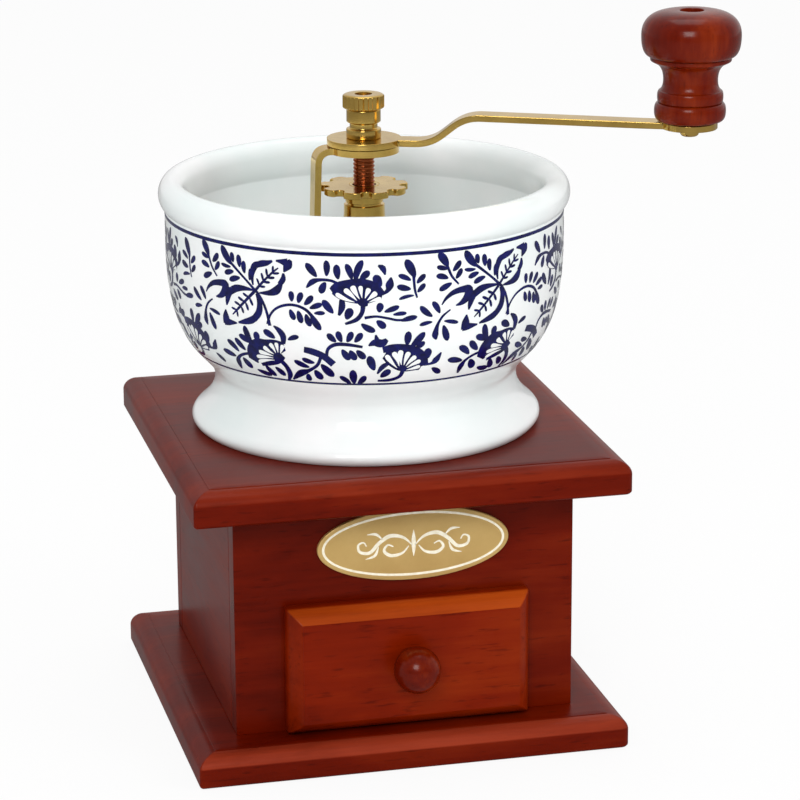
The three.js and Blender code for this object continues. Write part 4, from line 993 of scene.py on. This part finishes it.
def throughPoints(points, widths):  # a smooth line through the points, with its width at each step
    spots = [Vector((*point, width)) for point, width in zip(points, widths)]
    line = [spots[0]]
    for before, start, end, after in zip([spots[0]] + spots, spots, spots[1:], spots[2:] + [spots[-1]]):
        steps = max(2, round((end - start).xy.length / skin['step']))
        for step in range(1, steps + 1):
            t = step / steps
            bend = 2 * before - 5 * start + 4 * end - after
            twist = 3 * start - before - 3 * end + after
            line.append(0.5 * (2 * start + (end - before) * t + bend * t * t + twist * t ** 3))
    return line


def brushMark(vertices, faces, line, placed, spread=0):  # one stroke as a strip of quads
    widest = max(spot.z for spot in line) + spread
    cells = max(2, math.ceil(widest / skin['across']))
    first = len(vertices)
    for i, spot in enumerate(line):
        along = (line[min(i + 1, len(line) - 1)].xy - line[max(i - 1, 0)].xy).normalized()
        aside = Vector((-along.y, along.x)) * max(spot.z + spread, 0.02) / 2
        for cell in range(cells + 1):
            place = spot.xy + aside * (2 * cell / cells - 1)
            vertices.append(placed(place.x, place.y))
    for i in range(len(line) - 1):
        for cell in range(cells):
            corner = first + i * (cells + 1) + cell
            faces.append((corner, corner + cells + 1, corner + cells + 2, corner + 1))


leafShape = ((0, 0.12), (0.12, 0.5), (0.34, 0.86), (0.58, 1), (0.78, 0.88), (0.92, 0.56), (1, 0.04))
petalShape = ((0, 0.1), (0.2, 0.34), (0.45, 0.68), (0.7, 0.95), (0.86, 1), (0.96, 0.72), (1, 0.3))


def leafLine(leaf, scatter, shape=leafShape):  # a leaf bows a little to one side, as a quick brush leaves it
    base, tip, width = Vector(leaf[:2]), Vector(leaf[2:4]), leaf[4]
    along = tip - base
    bow = Vector((-along.y, along.x)) * scatter.uniform(-skin['bow'], skin['bow'])
    points = [base + along * t + bow * 4 * t * (1 - t) for t, share in shape]
    return throughPoints([tuple(point) for point in points], [width * share for t, share in shape])


def onSkin(around, up):
    return skinSpot(around, up, skin['lift'])


def overInk(around, up):
    return skinSpot(around, up, skin['petalLift'])


def faceOutward(piece, forward=None):  # away from the axis, or the way given
    with opened(piece.data) as made:
        made.normal_update()
        inward = []
        for face in made.faces:
            spot = face.calc_center_median()
            if face.normal.dot(forward or Vector((spot.x, spot.y, 0))) < 0:
                inward.append(face)
        bmesh.ops.reverse_faces(made, faces=inward)


def skinPattern():
    scatter = random.Random(skin['seed'])
    ink, petals = ([], []), ([], [])
    for motif in motifs.values():
        for leaf in motif.get('leaves', ()):
            brushMark(*ink, leafLine(leaf, scatter), onSkin, skin['spread'])
        for points, widths in motif.get('stems', ()):
            brushMark(*ink, throughPoints(points, widths), onSkin, skin['spread'])
        for leaf in motif.get('petals', ()):
            brushMark(*petals, leafLine(leaf, scatter, petalShape), overInk)
    for name, marks, finish in (('floralInk', ink, 'ink'), ('floralPetals', petals, 'porcelain')):
        mesh = newMesh(name, *marks)
        mesh.shade_smooth()
        piece = newObject(name, mesh)
        faceOutward(piece)
        grown(piece, 'repeat', Count=skin['repeats'], Finish=finishes[finish])
        settle(piece, 'case', 'porcelain')


def skinRings():
    steps = skin['ringSteps']
    for name, (start, end) in zip(('lowerInkRing', 'upperInkRing'), skin['rings']):
        if end < 0:
            start, end = skinRows[-1][2] + start, skinRows[-1][2] + end
        points = []
        for step in range(steps + 1):
            lift = -skin['sink'] if step in (0, steps) else skin['lift']
            x, y, level = skinSpot(0, start + (end - start) * step / steps, lift)
            points.append((math.hypot(x, y), level))
        settle(revolve(name, points, bowl['segments'], 'ink'), 'case', 'porcelain')


skinPattern()
skinRings()
print('pattern drawn')


# Burr, bridge and screws on the hopper floor

washer = {'bore': 3.3, 'soft': (0.2,), 'segments': 48}
flangeScrew = {'radius': 3.4, 'height': 2, 'shank': 1.8, 'slot': (0.9, 0.9), 'seed': 4, 'soft': 0.15,
               'segments': 36, 'tip': 0.5, 'edge': 0.45, 'crown': 0.9}
baseScrew = {'radius': 3.6, 'height': 2.6, 'sink': 0.3, 'shank': 1.7, 'tip': 2, 'slot': (0.9, 0.8),
             'seed': 9, 'soft': 0.12, 'segments': 32}


def burrPieces():
    for name, node, body in (('grindingRing', 'outer_burr', 'case'),
                             ('grindingCone', 'inner_burr', 'spindle_group'),
                             ('bearingBridge', 'lower_bridge', 'case')):
        refined(name, node, 'iron', 0.12, body, 'iron')
    refined('burrNut', 'burr_nut', 'steel', 0.2, 'spindle_group', 'steel')
    low, high = levelsOf('burr_washer')
    bore, radius = washer['bore'], high[0]
    outline = Outline((bore, low[2]), (radius, low[2]), (radius, high[2]), (bore, high[2]))
    turned('burrWasher', 'burr_washer', outline, washer, 'steel', 'spindle_group')


def cutSlot(piece, radius, low, high, width):  # a straight slot across the head
    reach, half = radius + 1, width / 2
    corners = [(-reach, -half), (reach, -half), (reach, half), (-reach, half)]
    cutAway(piece, extruded('slotCutter', [Vector(corner) for corner in corners], low, high, 'steel'))


def screwSet(name, item, kind, seats, values):  # the same screw in four places, each turned its own way
    nodes = [f'{kind}_screw_{number}' for number in range(1, 5)]
    piece = newObject(name, newMesh(name, [(*middleOf(node)[:2], seats(*heightsOf(node))) for node in nodes]))
    grown(piece, 'places', Piece=item, Seed=values['seed'], Finish=finishes['steel'])
    bpy.data.objects.remove(item)
    settle(piece, 'case', 'steel', *nodes)


def flangeScrews():
    values = flangeScrew
    radius, top, shank, (width, depth) = some(values, 'radius height shank slot')
    length = min(high - low for low, high in [heightsOf(f'flange_screw_{n}') for n in range(1, 5)]) - top
    outline = Outline((0, -length), (shank * values['tip'], -length), (shank, shank - length), (shank, 0),
                      (radius, 0), (radius, top * values['edge']))
    outline.curve(radius * values['crown'], top, 0, top, 8)
    item = revolve('screwPattern', outline.softened(values['soft']), values['segments'], 'steel')
    cutSlot(item, radius, top - depth, top + 2, width)
    screwSet('flangeScrewSet', item, 'flange', lambda low, high: high - top, values)


def baseScrews():
    values = baseScrew
    radius, sink, shank, (width, depth) = some(values, 'radius sink shank slot')
    low, high = heightsOf('base_screw_1')
    outline = Outline((0, high - low), (shank, high - low - values['tip']), (shank, values['height'] + sink),
                      (radius, sink), (radius, 0), (0, 0))
    item = revolve('baseScrewPattern', outline.softened(values['soft']), values['segments'], 'steel')
    cutSlot(item, radius, depth - 2, depth, width)
    screwSet('baseScrewSet', item, 'base', lambda low, high: low, values)


burrPieces()
flangeScrews()
baseScrews()
print('burr and screws built')


# Grinder mechanism over the hopper

stripStep = 0.6  # distance between the strip's cross sections


def stripLine(corners, bends):  # straight runs with a round bend at each inner corner
    outline = Outline(corners[0])
    for before, corner, after, bend in zip(corners, corners[1:], corners[2:], bends):
        here = Vector(corner)
        start = here + (Vector(before) - here).normalized() * bend
        end = here + (Vector(after) - here).normalized() * bend
        outline.line(start)
        outline.curve(here.x, here.y, end.x, end.y, 9)
    outline.line(corners[-1])
    fine = [outline.points[0]]
    for point in outline.points[1:]:
        stretch = point - fine[-1]
        pieces = max(1, round(stretch.length / stripStep))
        origin = fine[-1].copy()
        fine += [origin + stretch * step / pieces for step in range(1, pieces + 1)]
    return fine


def roundShare(distance, radius):  # half the width of a disc at this distance from its centre
    return math.sqrt(max(radius * radius - distance * distance, 0))


crank = {'turn': -22, 'length': 104, 'thick': 2.1, 'disc': 12, 'half': 3.65, 'end': 8.8, 'rise': 7.75,
         'sag': 1.05, 'sagEnd': 92, 'bendStart': 22, 'bendEnd': 33, 'bend': 5, 'soft': 0.45}
boss = {'bore': 2.6, 'radius': 5.6, 'upper': 5.5, 'groove': 4.45, 'grooveLow': 3.1, 'grooveHigh': 5.1,
        'soft': (0.45, 28, 5), 'segments': 72}
pointed = 0.02  # half the width of a strip where its disc begins


def crankPieces():
    values = crank
    thick, disc, length, end, rise, half = some(values, 'thick disc length end rise half')
    middle = heightsOf('crank_arm')[0] + thick / 2
    corners = [(-disc, middle), (values['bendStart'], middle),
               (values['bendEnd'], middle + rise + values['sag']),
               (values['sagEnd'], middle + rise), (length + end, middle + rise)]
    line = stripLine(corners, [values['bend']] * 3)
    widths = [max(roundShare(point.x, disc), roundShare(point.x - length, end),
                  half if 0 < point.x < length else pointed) for point in line]
    arm = bentStrip('crankArmForged', line, widths, thick, 'brass', math.radians(values['turn']))
    settle(bevelled(arm, values['soft'], 3, 50), 'spindle_group', 'brass', 'crank_arm')
    low, high = heightsOf('crank_boss')
    bore, radius, upper, groove = some(boss, 'bore radius upper groove')
    grooveLow, grooveHigh = [low + height for height in some(boss, 'grooveLow grooveHigh')]
    outline = Outline((bore, low), (radius, low), (radius, grooveLow), (groove, grooveLow),
                      (groove, grooveHigh), (upper, grooveHigh), (upper, high), (bore, high), (bore, low))
    turned('crankBossTurned', 'crank_boss', outline, boss, 'brass', 'spindle_group')


capNut = {'radius': 6.42, 'chamfer': 0.6, 'recess': 2.75, 'recessDepth': 1.8, 'dome': (0.4, 0.1, 0.9),
          'bore': 2.5, 'ridges': 28, 'crest': 6.68, 'ridgeShare': 0.62, 'ridgeRoot': 0.2, 'ridgeEnd': 0.25,
          'ridgeSlope': 0.3, 'soft': (0.2,), 'segments': 72}


def capNutPieces():
    values = capNut
    low, high = heightsOf('cap_nut')
    radius, bore, recess, chamfer = some(values, 'radius bore recess chamfer')
    domeLow, domePull, domeIn = values['dome']
    recessLow = high - values['recessDepth']
    outline = Outline((bore, low), (radius - chamfer, low), (radius, low + chamfer), (radius, high - domeLow))
    outline.curve(radius - domePull, high - domePull, radius - domeIn, high, 6)
    outline.line((recess, high), (recess, recessLow), (bore, recessLow), (bore, low))
    turned('capNutTurned', 'cap_nut', outline, capNut, 'brass', 'spindle_group')
    foot, top = low + values['ridgeEnd'], high - values['ridgeEnd']
    half = math.pi / values['ridges'] * values['ridgeShare']
    inner, crest, slope = radius - values['ridgeRoot'], values['crest'], values['ridgeSlope']
    corners = [(inner * math.cos(angle), inner * math.sin(angle), level)
               for level in (foot, top) for angle in (-half, half)]
    corners += [(crest, 0, foot + slope), (crest, 0, top - slope)]
    faces = [(0, 1, 4), (2, 5, 3), (0, 4, 5, 2), (1, 3, 5, 4), (0, 2, 3, 1)]
    ridge = meshObject('capNutKnurl', corners, faces, 'brass')
    grown(ridge, 'repeat', Count=values['ridges'], Finish=finishes['brass'])
    settle(ridge, 'spindle_group', 'brass')


bracket = {'disc': 11.4, 'thick': 2.1, 'half': 3.5, 'top': 15.5, 'foot': 18, 'reach': 10.5, 'bend': 4.2,
           'footBend': 2.4, 'bore': 3.55, 'soft': 0.4}


def bracketPiece():
    values = bracket
    low, high = heightsOf('bracket')
    thick, disc, foot, half = some(values, 'thick disc foot half')
    middle, footMiddle = high - thick / 2, low + thick / 2
    corners = [(-disc, middle), (values['top'], middle), (foot, footMiddle),
               (foot + values['reach'], footMiddle)]
    line = stripLine(corners, some(values, 'bend footBend'))
    widths = [max(roundShare(point.x, disc) if point.y > middle - 1 else 0,
                  half if point.x > 0 else pointed) for point in line]
    piece = bentStrip('bracketBent', line, widths, thick, 'brass', math.pi)
    bored(piece, values['bore'], high - thick - 1, high + 1)
    settle(bevelled(piece, values['soft'], 3, 50), 'case', 'brass', 'bracket')


star = {'lobes': 9, 'radius': 14.3, 'notch': 1.7, 'notchPlace': 13.2, 'pull': 0.75, 'bore': 4.82,
        'soft': 0.35}


def starOutline():
    lobes, radius, notch, place = some(star, 'lobes radius notch notchPlace')
    pitch = 2 * math.pi / lobes
    side = math.hypot(notch, place)
    half = pitch / 2 - math.atan(notch / place)
    pullHalf = half * star['pull']
    pull = (8 * radius - 2 * side * math.cos(half)) / (6 * math.cos(pullHalf))
    outline = None
    for lobe in range(lobes):
        middle = math.pi + (lobe + 0.5) * pitch
        spots = [(side, middle - half), (pull, middle - pullHalf),
                 (pull, middle + pullHalf), (side, middle + half)]
        (x0, y0), (x1, y1), (x2, y2), (x3, y3) = [(r * math.cos(a), r * math.sin(a)) for r, a in spots]
        outline = outline or Outline((x0, y0))
        outline.cubic(x1, y1, x2, y2, x3, y3, 16)
        angle = middle + pitch / 2
        turn = math.degrees(angle)
        outline.arc(place * math.cos(angle), place * math.sin(angle), notch, notch, turn - 90, turn - 270, 10)
    return outline.points


hub = {'radius': 6.1, 'length': 3.4, 'neck': 4.8, 'groove': 5.45, 'grooveHeight': 0.8, 'bellTop': 6.6,
       'bell': 9.6, 'bellWall': 1.6, 'bore': 3.8, 'seat': 0.02, 'soft': (0.25,), 'segments': 72}


def adjusterPieces():
    low, high = heightsOf('star_wheel')
    piece = extruded('starWheelCut', starOutline(), low, high, 'brass')
    bored(piece, star['bore'], low - 1, high + 1)
    settle(bevelled(piece, star['soft'], 3, 50), 'adjuster', 'brass', 'star_wheel')
    values = hub
    bottom, top = heightsOf('adjuster_hub')
    radius, neck, groove, bore, bell, wall = some(values, 'radius neck groove bore bell bellWall')
    seat = low - values['seat']
    hubLow = seat - values['length']
    bellTop = hubLow - values['grooveHeight']
    topRadius, inner = values['bellTop'], bell - wall
    outline = Outline((inner, bottom), (bell, bottom))
    outline.curve(topRadius, bottom, topRadius, bellTop, 16)
    outline.line((groove, bellTop), (groove, hubLow), (radius, hubLow), (radius, seat), (neck, seat),
                 (neck, top), (bore, top), (bore, bellTop), (topRadius - wall, bellTop))
    outline.curve(topRadius - wall, bottom + wall, inner, bottom, 12)
    turned('adjusterHubTurned', 'adjuster_hub', outline, hub, 'brass', 'adjuster')


thread = {'core': 3.12, 'bore': 2.5, 'ridge': 0.38, 'pitch': 1.25, 'start': 0.5, 'short': 2.4,
          'soft': (0.2,), 'segments': 48}


def wound(name, low, rise, radius, wire, turns, sides, finish):  # a wire round the axis
    piece = newObject(name, newMesh(name, ()))
    return grown(piece, 'helix', Radius=mm(radius), Wire=mm(wire), Turns=turns, Rise=mm(rise), Base=mm(low),
                 Sides=sides, Finish=finishes[finish])


def sleevePieces():
    low, high = heightsOf('threaded_sleeve')
    bore, core = thread['bore'], thread['core']
    outline = Outline((bore, low), (core, low), (core, high), (bore, high), (bore, low))
    turned('threadedSleeveCore', 'threaded_sleeve', outline, thread, 'copper', 'case')
    reach = high - low - thread['short']
    ridge = wound('threadedSleeveRidge', low + thread['start'], reach, core, thread['ridge'],
                  reach / thread['pitch'], 6, 'copper')
    settle(ridge, 'case', 'copper')


spindle = {'radius': 3, 'flange': 4.2, 'step': 3.7, 'stepHeight': 2.1, 'upper': 2.2, 'seat': 0.3,
           'flangeTop': 7.7, 'soft': (0.3,), 'segments': 48}
thrustCollar = {'bore': 3.3, 'radius': 7, 'soft': (0.4,), 'segments': 60}


def spindlePieces():
    low, high = heightsOf('spindle')
    radius, flange, step, upper = some(spindle, 'radius flange step upper')
    shoulder = heightsOf('thrust_collar')[1] + spindle['seat']
    flangeTop = heightsOf('adjuster_hub')[0] + spindle['flangeTop']
    stepLow = flangeTop - spindle['stepHeight']
    outline = Outline((0, low), (radius, low), (radius, shoulder), (flange, shoulder), (flange, stepLow),
                      (step, stepLow), (step, flangeTop), (upper, flangeTop), (upper, high), (0, high))
    turned('spindleTurned', 'spindle', outline, spindle, 'steel', 'spindle_group', closed=False)
    low, high = heightsOf('thrust_collar')
    bore, radius = thrustCollar['bore'], thrustCollar['radius']
    outline = Outline((bore, low), (radius, low), (radius, high), (bore, high), (bore, low))
    turned('thrustCollarTurned', 'thrust_collar', outline, thrustCollar, 'steel', 'carriage')


spring = {'radius': 5, 'wire': 0.55, 'curls': 8}


def springPiece():
    low, high = heightsOf('return_spring')
    wire = spring['wire']
    piece = wound('returnSpringWound', low + wire, high - low - 2 * wire, spring['radius'], wire,
                  spring['curls'], 10, 'steel')
    settle(piece, 'case', 'steel', 'return_spring')


crankPieces()
capNutPieces()
bracketPiece()
adjusterPieces()
sleevePieces()
spindlePieces()
springPiece()
print('mechanism built')


# Turned hand knob

handKnob = {
    'foot': 9.2, 'ring': 11.3, 'ringLevel': 3.2, 'groove': 9.9, 'grooveLevel': 6, 'bead': 10.4,
    'beadLevel': 7.8, 'beadTop': 9.8, 'beadStep': 0.75, 'waist': 8.6, 'waistLevel': 13.1, 'flare': 11.6,
    'flareLevel': 18.6, 'flarePull': 4.3, 'collar': 12.8, 'collarLevel': 19.2, 'collarThick': 1.2,
    'ballNeck': 12.3, 'ball': 15.7, 'ballLevel': 27.1, 'top': 5.2, 'recess': 3.75, 'recessDepth': 4,
    'bore': 2.3, 'soft': (0.35, 24, 4), 'segments': 112,
}
knobScrew = {'rivet': 3.05, 'rivetEdge': 1.56, 'rivetHeight': 2.6, 'shank': 2, 'head': 3.4, 'crown': 3.2,
             'headHeight': 2.4, 'headEdge': 1.5, 'soft': (0.2,), 'segments': 40}


def handKnobPieces():
    values = handKnob
    foot, top = heightsOf('crank_knob')
    angle = math.radians(crank['turn'])
    centre = (crank['length'] * math.cos(angle), crank['length'] * math.sin(angle))
    ring, groove, bead, waist, ball = some(values, 'ring groove bead waist ball')
    bore, recess, collar = some(values, 'bore recess collar')
    grooveLevel, beadTop, waistLevel, collarLow = [foot + height for height in some(
        values, 'grooveLevel beadTop waistLevel collarLevel')]
    collarTop, recessLow = collarLow + values['collarThick'], top - values['recessDepth']
    outline = Outline((bore, foot), (values['foot'], foot))
    outline.curve(ring, foot, ring, foot + values['ringLevel'])
    outline.curve(ring, grooveLevel, groove, grooveLevel)
    outline.curve(bead, grooveLevel, bead, foot + values['beadLevel'])
    outline.curve(bead, beadTop, bead - values['beadStep'], beadTop)
    outline.curve(waist, beadTop + 1, waist, waistLevel, 12)
    outline.curve(waist, waistLevel + values['flarePull'], values['flare'], foot + values['flareLevel'], 14)
    outline.line((collar, collarLow), (collar, collarTop), (values['ballNeck'], collarTop))
    outline.curve(ball, collarTop, ball, foot + values['ballLevel'], 14)
    outline.curve(ball, top, values['top'], top, 16)
    outline.line((recess, top), (recess, recessLow), (bore, recessLow), (bore, foot))
    turned('handKnobTurned', 'crank_knob', outline, handKnob, 'knob', 'hand_knob', 'knob_wood', centre=centre)
    values = knobScrew
    low, high = heightsOf('knob_screw')
    rivet, shank, head = some(values, 'rivet shank head')
    rivetTop, headLow = low + values['rivetHeight'], high - values['headHeight']
    outline = Outline((0, low), (rivet * 0.5, low))
    outline.curve(rivet, low, rivet, low + values['rivetEdge'], 8)
    outline.line((rivet, rivetTop), (shank, rivetTop), (shank, headLow), (head, headLow),
                 (head, headLow + values['headEdge']))
    outline.curve(values['crown'], high, 0, high, 8)
    turned('knobScrewTurned', 'knob_screw', outline, knobScrew, 'brass', 'spindle_group', closed=False,
           centre=centre)


handKnobPieces()
print('hand knob built')


# Oval plate with its cream ring and flourish

plate = {'inset': 1.4, 'ringWidth': 0.85, 'ringSlope': 0.12, 'sink': 0.01, 'bevel': 0.35, 'bevelEase': 0.105,
         'lift': 0.06, 'steps': 96}
flourish = (  # right half, as points and widths; the left half mirrors it
    ([(0.5, -0.4), (3.4, 2.3), (7.6, 3.1), (11.2, 1.0), (14.2, -1.9), (17.4, -1.4), (17.9, 0.9), (16.2, 1.6),
      (15.3, 0.3)], [0.3, 0.9, 1.3, 1.2, 1.1, 0.9, 0.7, 0.5, 0.4]),
    ([(1.6, -0.6), (3.8, -2.9), (7.4, -3.4), (9.6, -1.7), (8.4, 0.2), (6.6, -0.5)],
     [0.3, 0.8, 1.1, 0.9, 0.6, 0.4]),
    ([(10.2, 2.2), (12.2, 4.0), (15.0, 4.1)], [0.3, 0.9, 0.2]),
    ([(11.4, -0.2), (12.6, -3.0), (15.6, -4.0)], [0.3, 0.9, 0.2]),
    ([(0, -4.2), (0, -1.4), (0, 1.6), (0, 4.6)], [0.1, 1.2, 1.3, 0.1]),
)


def ovalPieces():
    node = 'oval_plate'
    low, high = levelsOf(node)
    centreX, face, centreZ = middleOf(node)[0], low[1], middleOf(node)[2]
    steps, bevel, ease, inset, slope = some(plate, 'steps bevel bevelEase inset ringSlope')

    def bands(rows):  # corners and quads of the ovals, each by its inset and depth
        corners = [(spot.x, depth, spot.y) for inset, depth in rows
                   for spot in oval((high[0] - low[0]) / 2 - inset, (high[2] - low[2]) / 2 - inset, steps,
                                    centreX, centreZ)]
        return corners, ringFaces(len(rows), steps)

    corners, faces = bands(((0, high[1]), (0, face + bevel), (ease, face + ease), (bevel, face)))
    dome = meshObject('ovalPlateDomed', corners, faces + endFaces(4, steps), 'plateGold', 25)
    settle(dome, 'case', 'plate_gold', node)
    outer, raised, sunk = inset + plate['ringWidth'], face - plate['lift'], face + plate['sink']
    corners, faces = bands(((inset, sunk), (inset + slope, raised), (outer - slope, raised), (outer, sunk)))
    settle(meshObject('ovalPlateRing', corners, faces, 'cream'), 'case', 'plate_gold')
    vertices, faces = [], []
    for points, widths in flourish:
        for side in (1, -1):
            line = throughPoints([(x * side, z) for x, z in points], widths)
            brushMark(vertices, faces, line, lambda x, z: (centreX + x, raised, centreZ + z))
    scroll = meshObject('ovalPlateFlourish', vertices, faces, 'cream')
    faceOutward(scroll, Vector((0, -1, 0)))
    settle(scroll, 'case', 'plate_gold')


ovalPieces()
print('oval plate built')


# Camera, floor and light

view = {'place': (-0.22819, -0.99314, 0.40168), 'aim': (0.0115, 0, 0.10085), 'roll': -0.2995,
        'lens': 145.83, 'sensor': 36, 'near': 0.05, 'far': 20}


def facing(place, aim):
    return (Vector(aim) - Vector(place)).to_track_quat('-Z', 'Y').to_euler()


def makeCamera():
    camera = bpy.data.cameras.new('photoCamera')
    camera.lens = view['lens']
    camera.sensor_width = view['sensor']
    camera.clip_start = view['near']
    camera.clip_end = view['far']
    piece = newObject('photoCamera', camera)
    piece.location = view['place']
    piece.rotation_euler = facing(view['place'], view['aim'])
    piece.rotation_euler.rotate_axis('Z', math.radians(view['roll']))
    scene.camera = piece


floorValues = {'reach': 3000, 'level': -0.2, 'glow': 0.9, 'mirrored': 0.8, 'dim': 0.25,
               'colour': (0.9, 0.9, 0.9), 'cloud': (0.86, 0.86, 0.87)}


def makeFloor():
    values = floorValues
    finish = Finish('paleFloor')
    cloud = finish.noise((3,) * 3, 3)
    colour = finish.mixColour(cloud * 0.1, rgba(values['colour']), rgba(values['cloud']))
    matt = finish.node('ShaderNodeBsdfDiffuse', {}, {'Color': colour})
    camera, reflected = finish.rays()
    share = camera * values['glow'] + reflected * values['mirrored']
    bright = camera + (1 - camera) * values['dim']
    glow = finish.node('ShaderNodeEmission', {}, {'Color': (1, 1, 1, 1), 'Strength': bright})
    both = finish.node('ShaderNodeMixShader', {}, {0: share, 1: matt, 2: glow})
    finish.node('ShaderNodeOutputMaterial', {}, {'Surface': both})
    reach, level = values['reach'], values['level']
    corners = [(-reach, -reach, level), (reach, -reach, level), (reach, reach, level), (-reach, reach, level)]
    mesh = newMesh('floor', corners, [(0, 1, 2, 3)])
    mesh.materials.append(finish.material)
    newObject('floor', mesh)


world = {'fill': 0.66, 'low': 0.8, 'high': 0.9, 'left': 0.7, 'front': 0.2}  # shares of full white
lampAim = (0, 0, 0.12)
lamps = (
    {'name': 'keyPanel', 'place': (-0.5, -1.35, 1.0), 'size': 0.62, 'power': 11.5, 'mirrored': True},
    {'name': 'sidePanel', 'place': (1.2, -0.9, 0.8), 'size': 0.7, 'power': 5, 'mirrored': False},
    {'name': 'topPanel', 'place': (0.1, 0.35, 1.65), 'size': 0.9, 'power': 5, 'mirrored': True},
)


def makeLight():
    made = bpy.data.worlds.new('studio')
    scene.world = made
    made.use_nodes = True
    graph = Graph(made.node_tree)
    graph.tree.nodes.clear()
    camera, reflected = graph.rays()
    direction = graph.node('ShaderNodeTexCoord', output='Generated')
    side, forward, height = [graph.node('ShaderNodeSeparateXYZ', {}, {0: direction}, axis) for axis in 'XYZ']
    level = graph.span(height, 0.2, 0.85, world['low'], world['high'])
    leftward = graph.span(side, -0.8, 0.4, world['left'], 1)
    ahead = graph.span(forward, -0.6, 0.3, world['front'], 1)
    mirrored = reflected * level * leftward * ahead
    strength = camera + (1 - camera) * (mirrored + (1 - reflected) * world['fill'])
    back = graph.node('ShaderNodeBackground', {}, {'Color': (1, 1, 1, 1), 'Strength': strength})
    graph.node('ShaderNodeOutputWorld', {}, {'Surface': back})
    for values in lamps:
        lamp = bpy.data.lights.new(values['name'], 'AREA')
        lamp.size = values['size']
        lamp.energy = values['power']
        piece = newObject(values['name'], lamp)
        piece.location = values['place']
        piece.rotation_euler = facing(values['place'], lampAim)
        piece.visible_glossy = values['mirrored']


makeCamera()
makeFloor()
makeLight()
scene.view_settings.view_transform = 'Standard'
print('camera, floor and light set')


plainFinishes = {'case_wood': 'caseX', 'drawer_wood': 'drawer', 'plain_wood': 'plainY', 'knob_wood': 'knob',
                 'porcelain': 'porcelain', 'brass': 'brass', 'plate_gold': 'plateGold', 'copper': 'copper',
                 'iron': 'iron', 'steel': 'steel'}
slotOf = {row['node']: row['material_slot'] for row in frame['record']['subparts']}
for node, thing in frame['nodes'].items():
    thing.data.materials.clear()
    thing.data.materials.append(finishes[plainFinishes[slotOf[node]]])
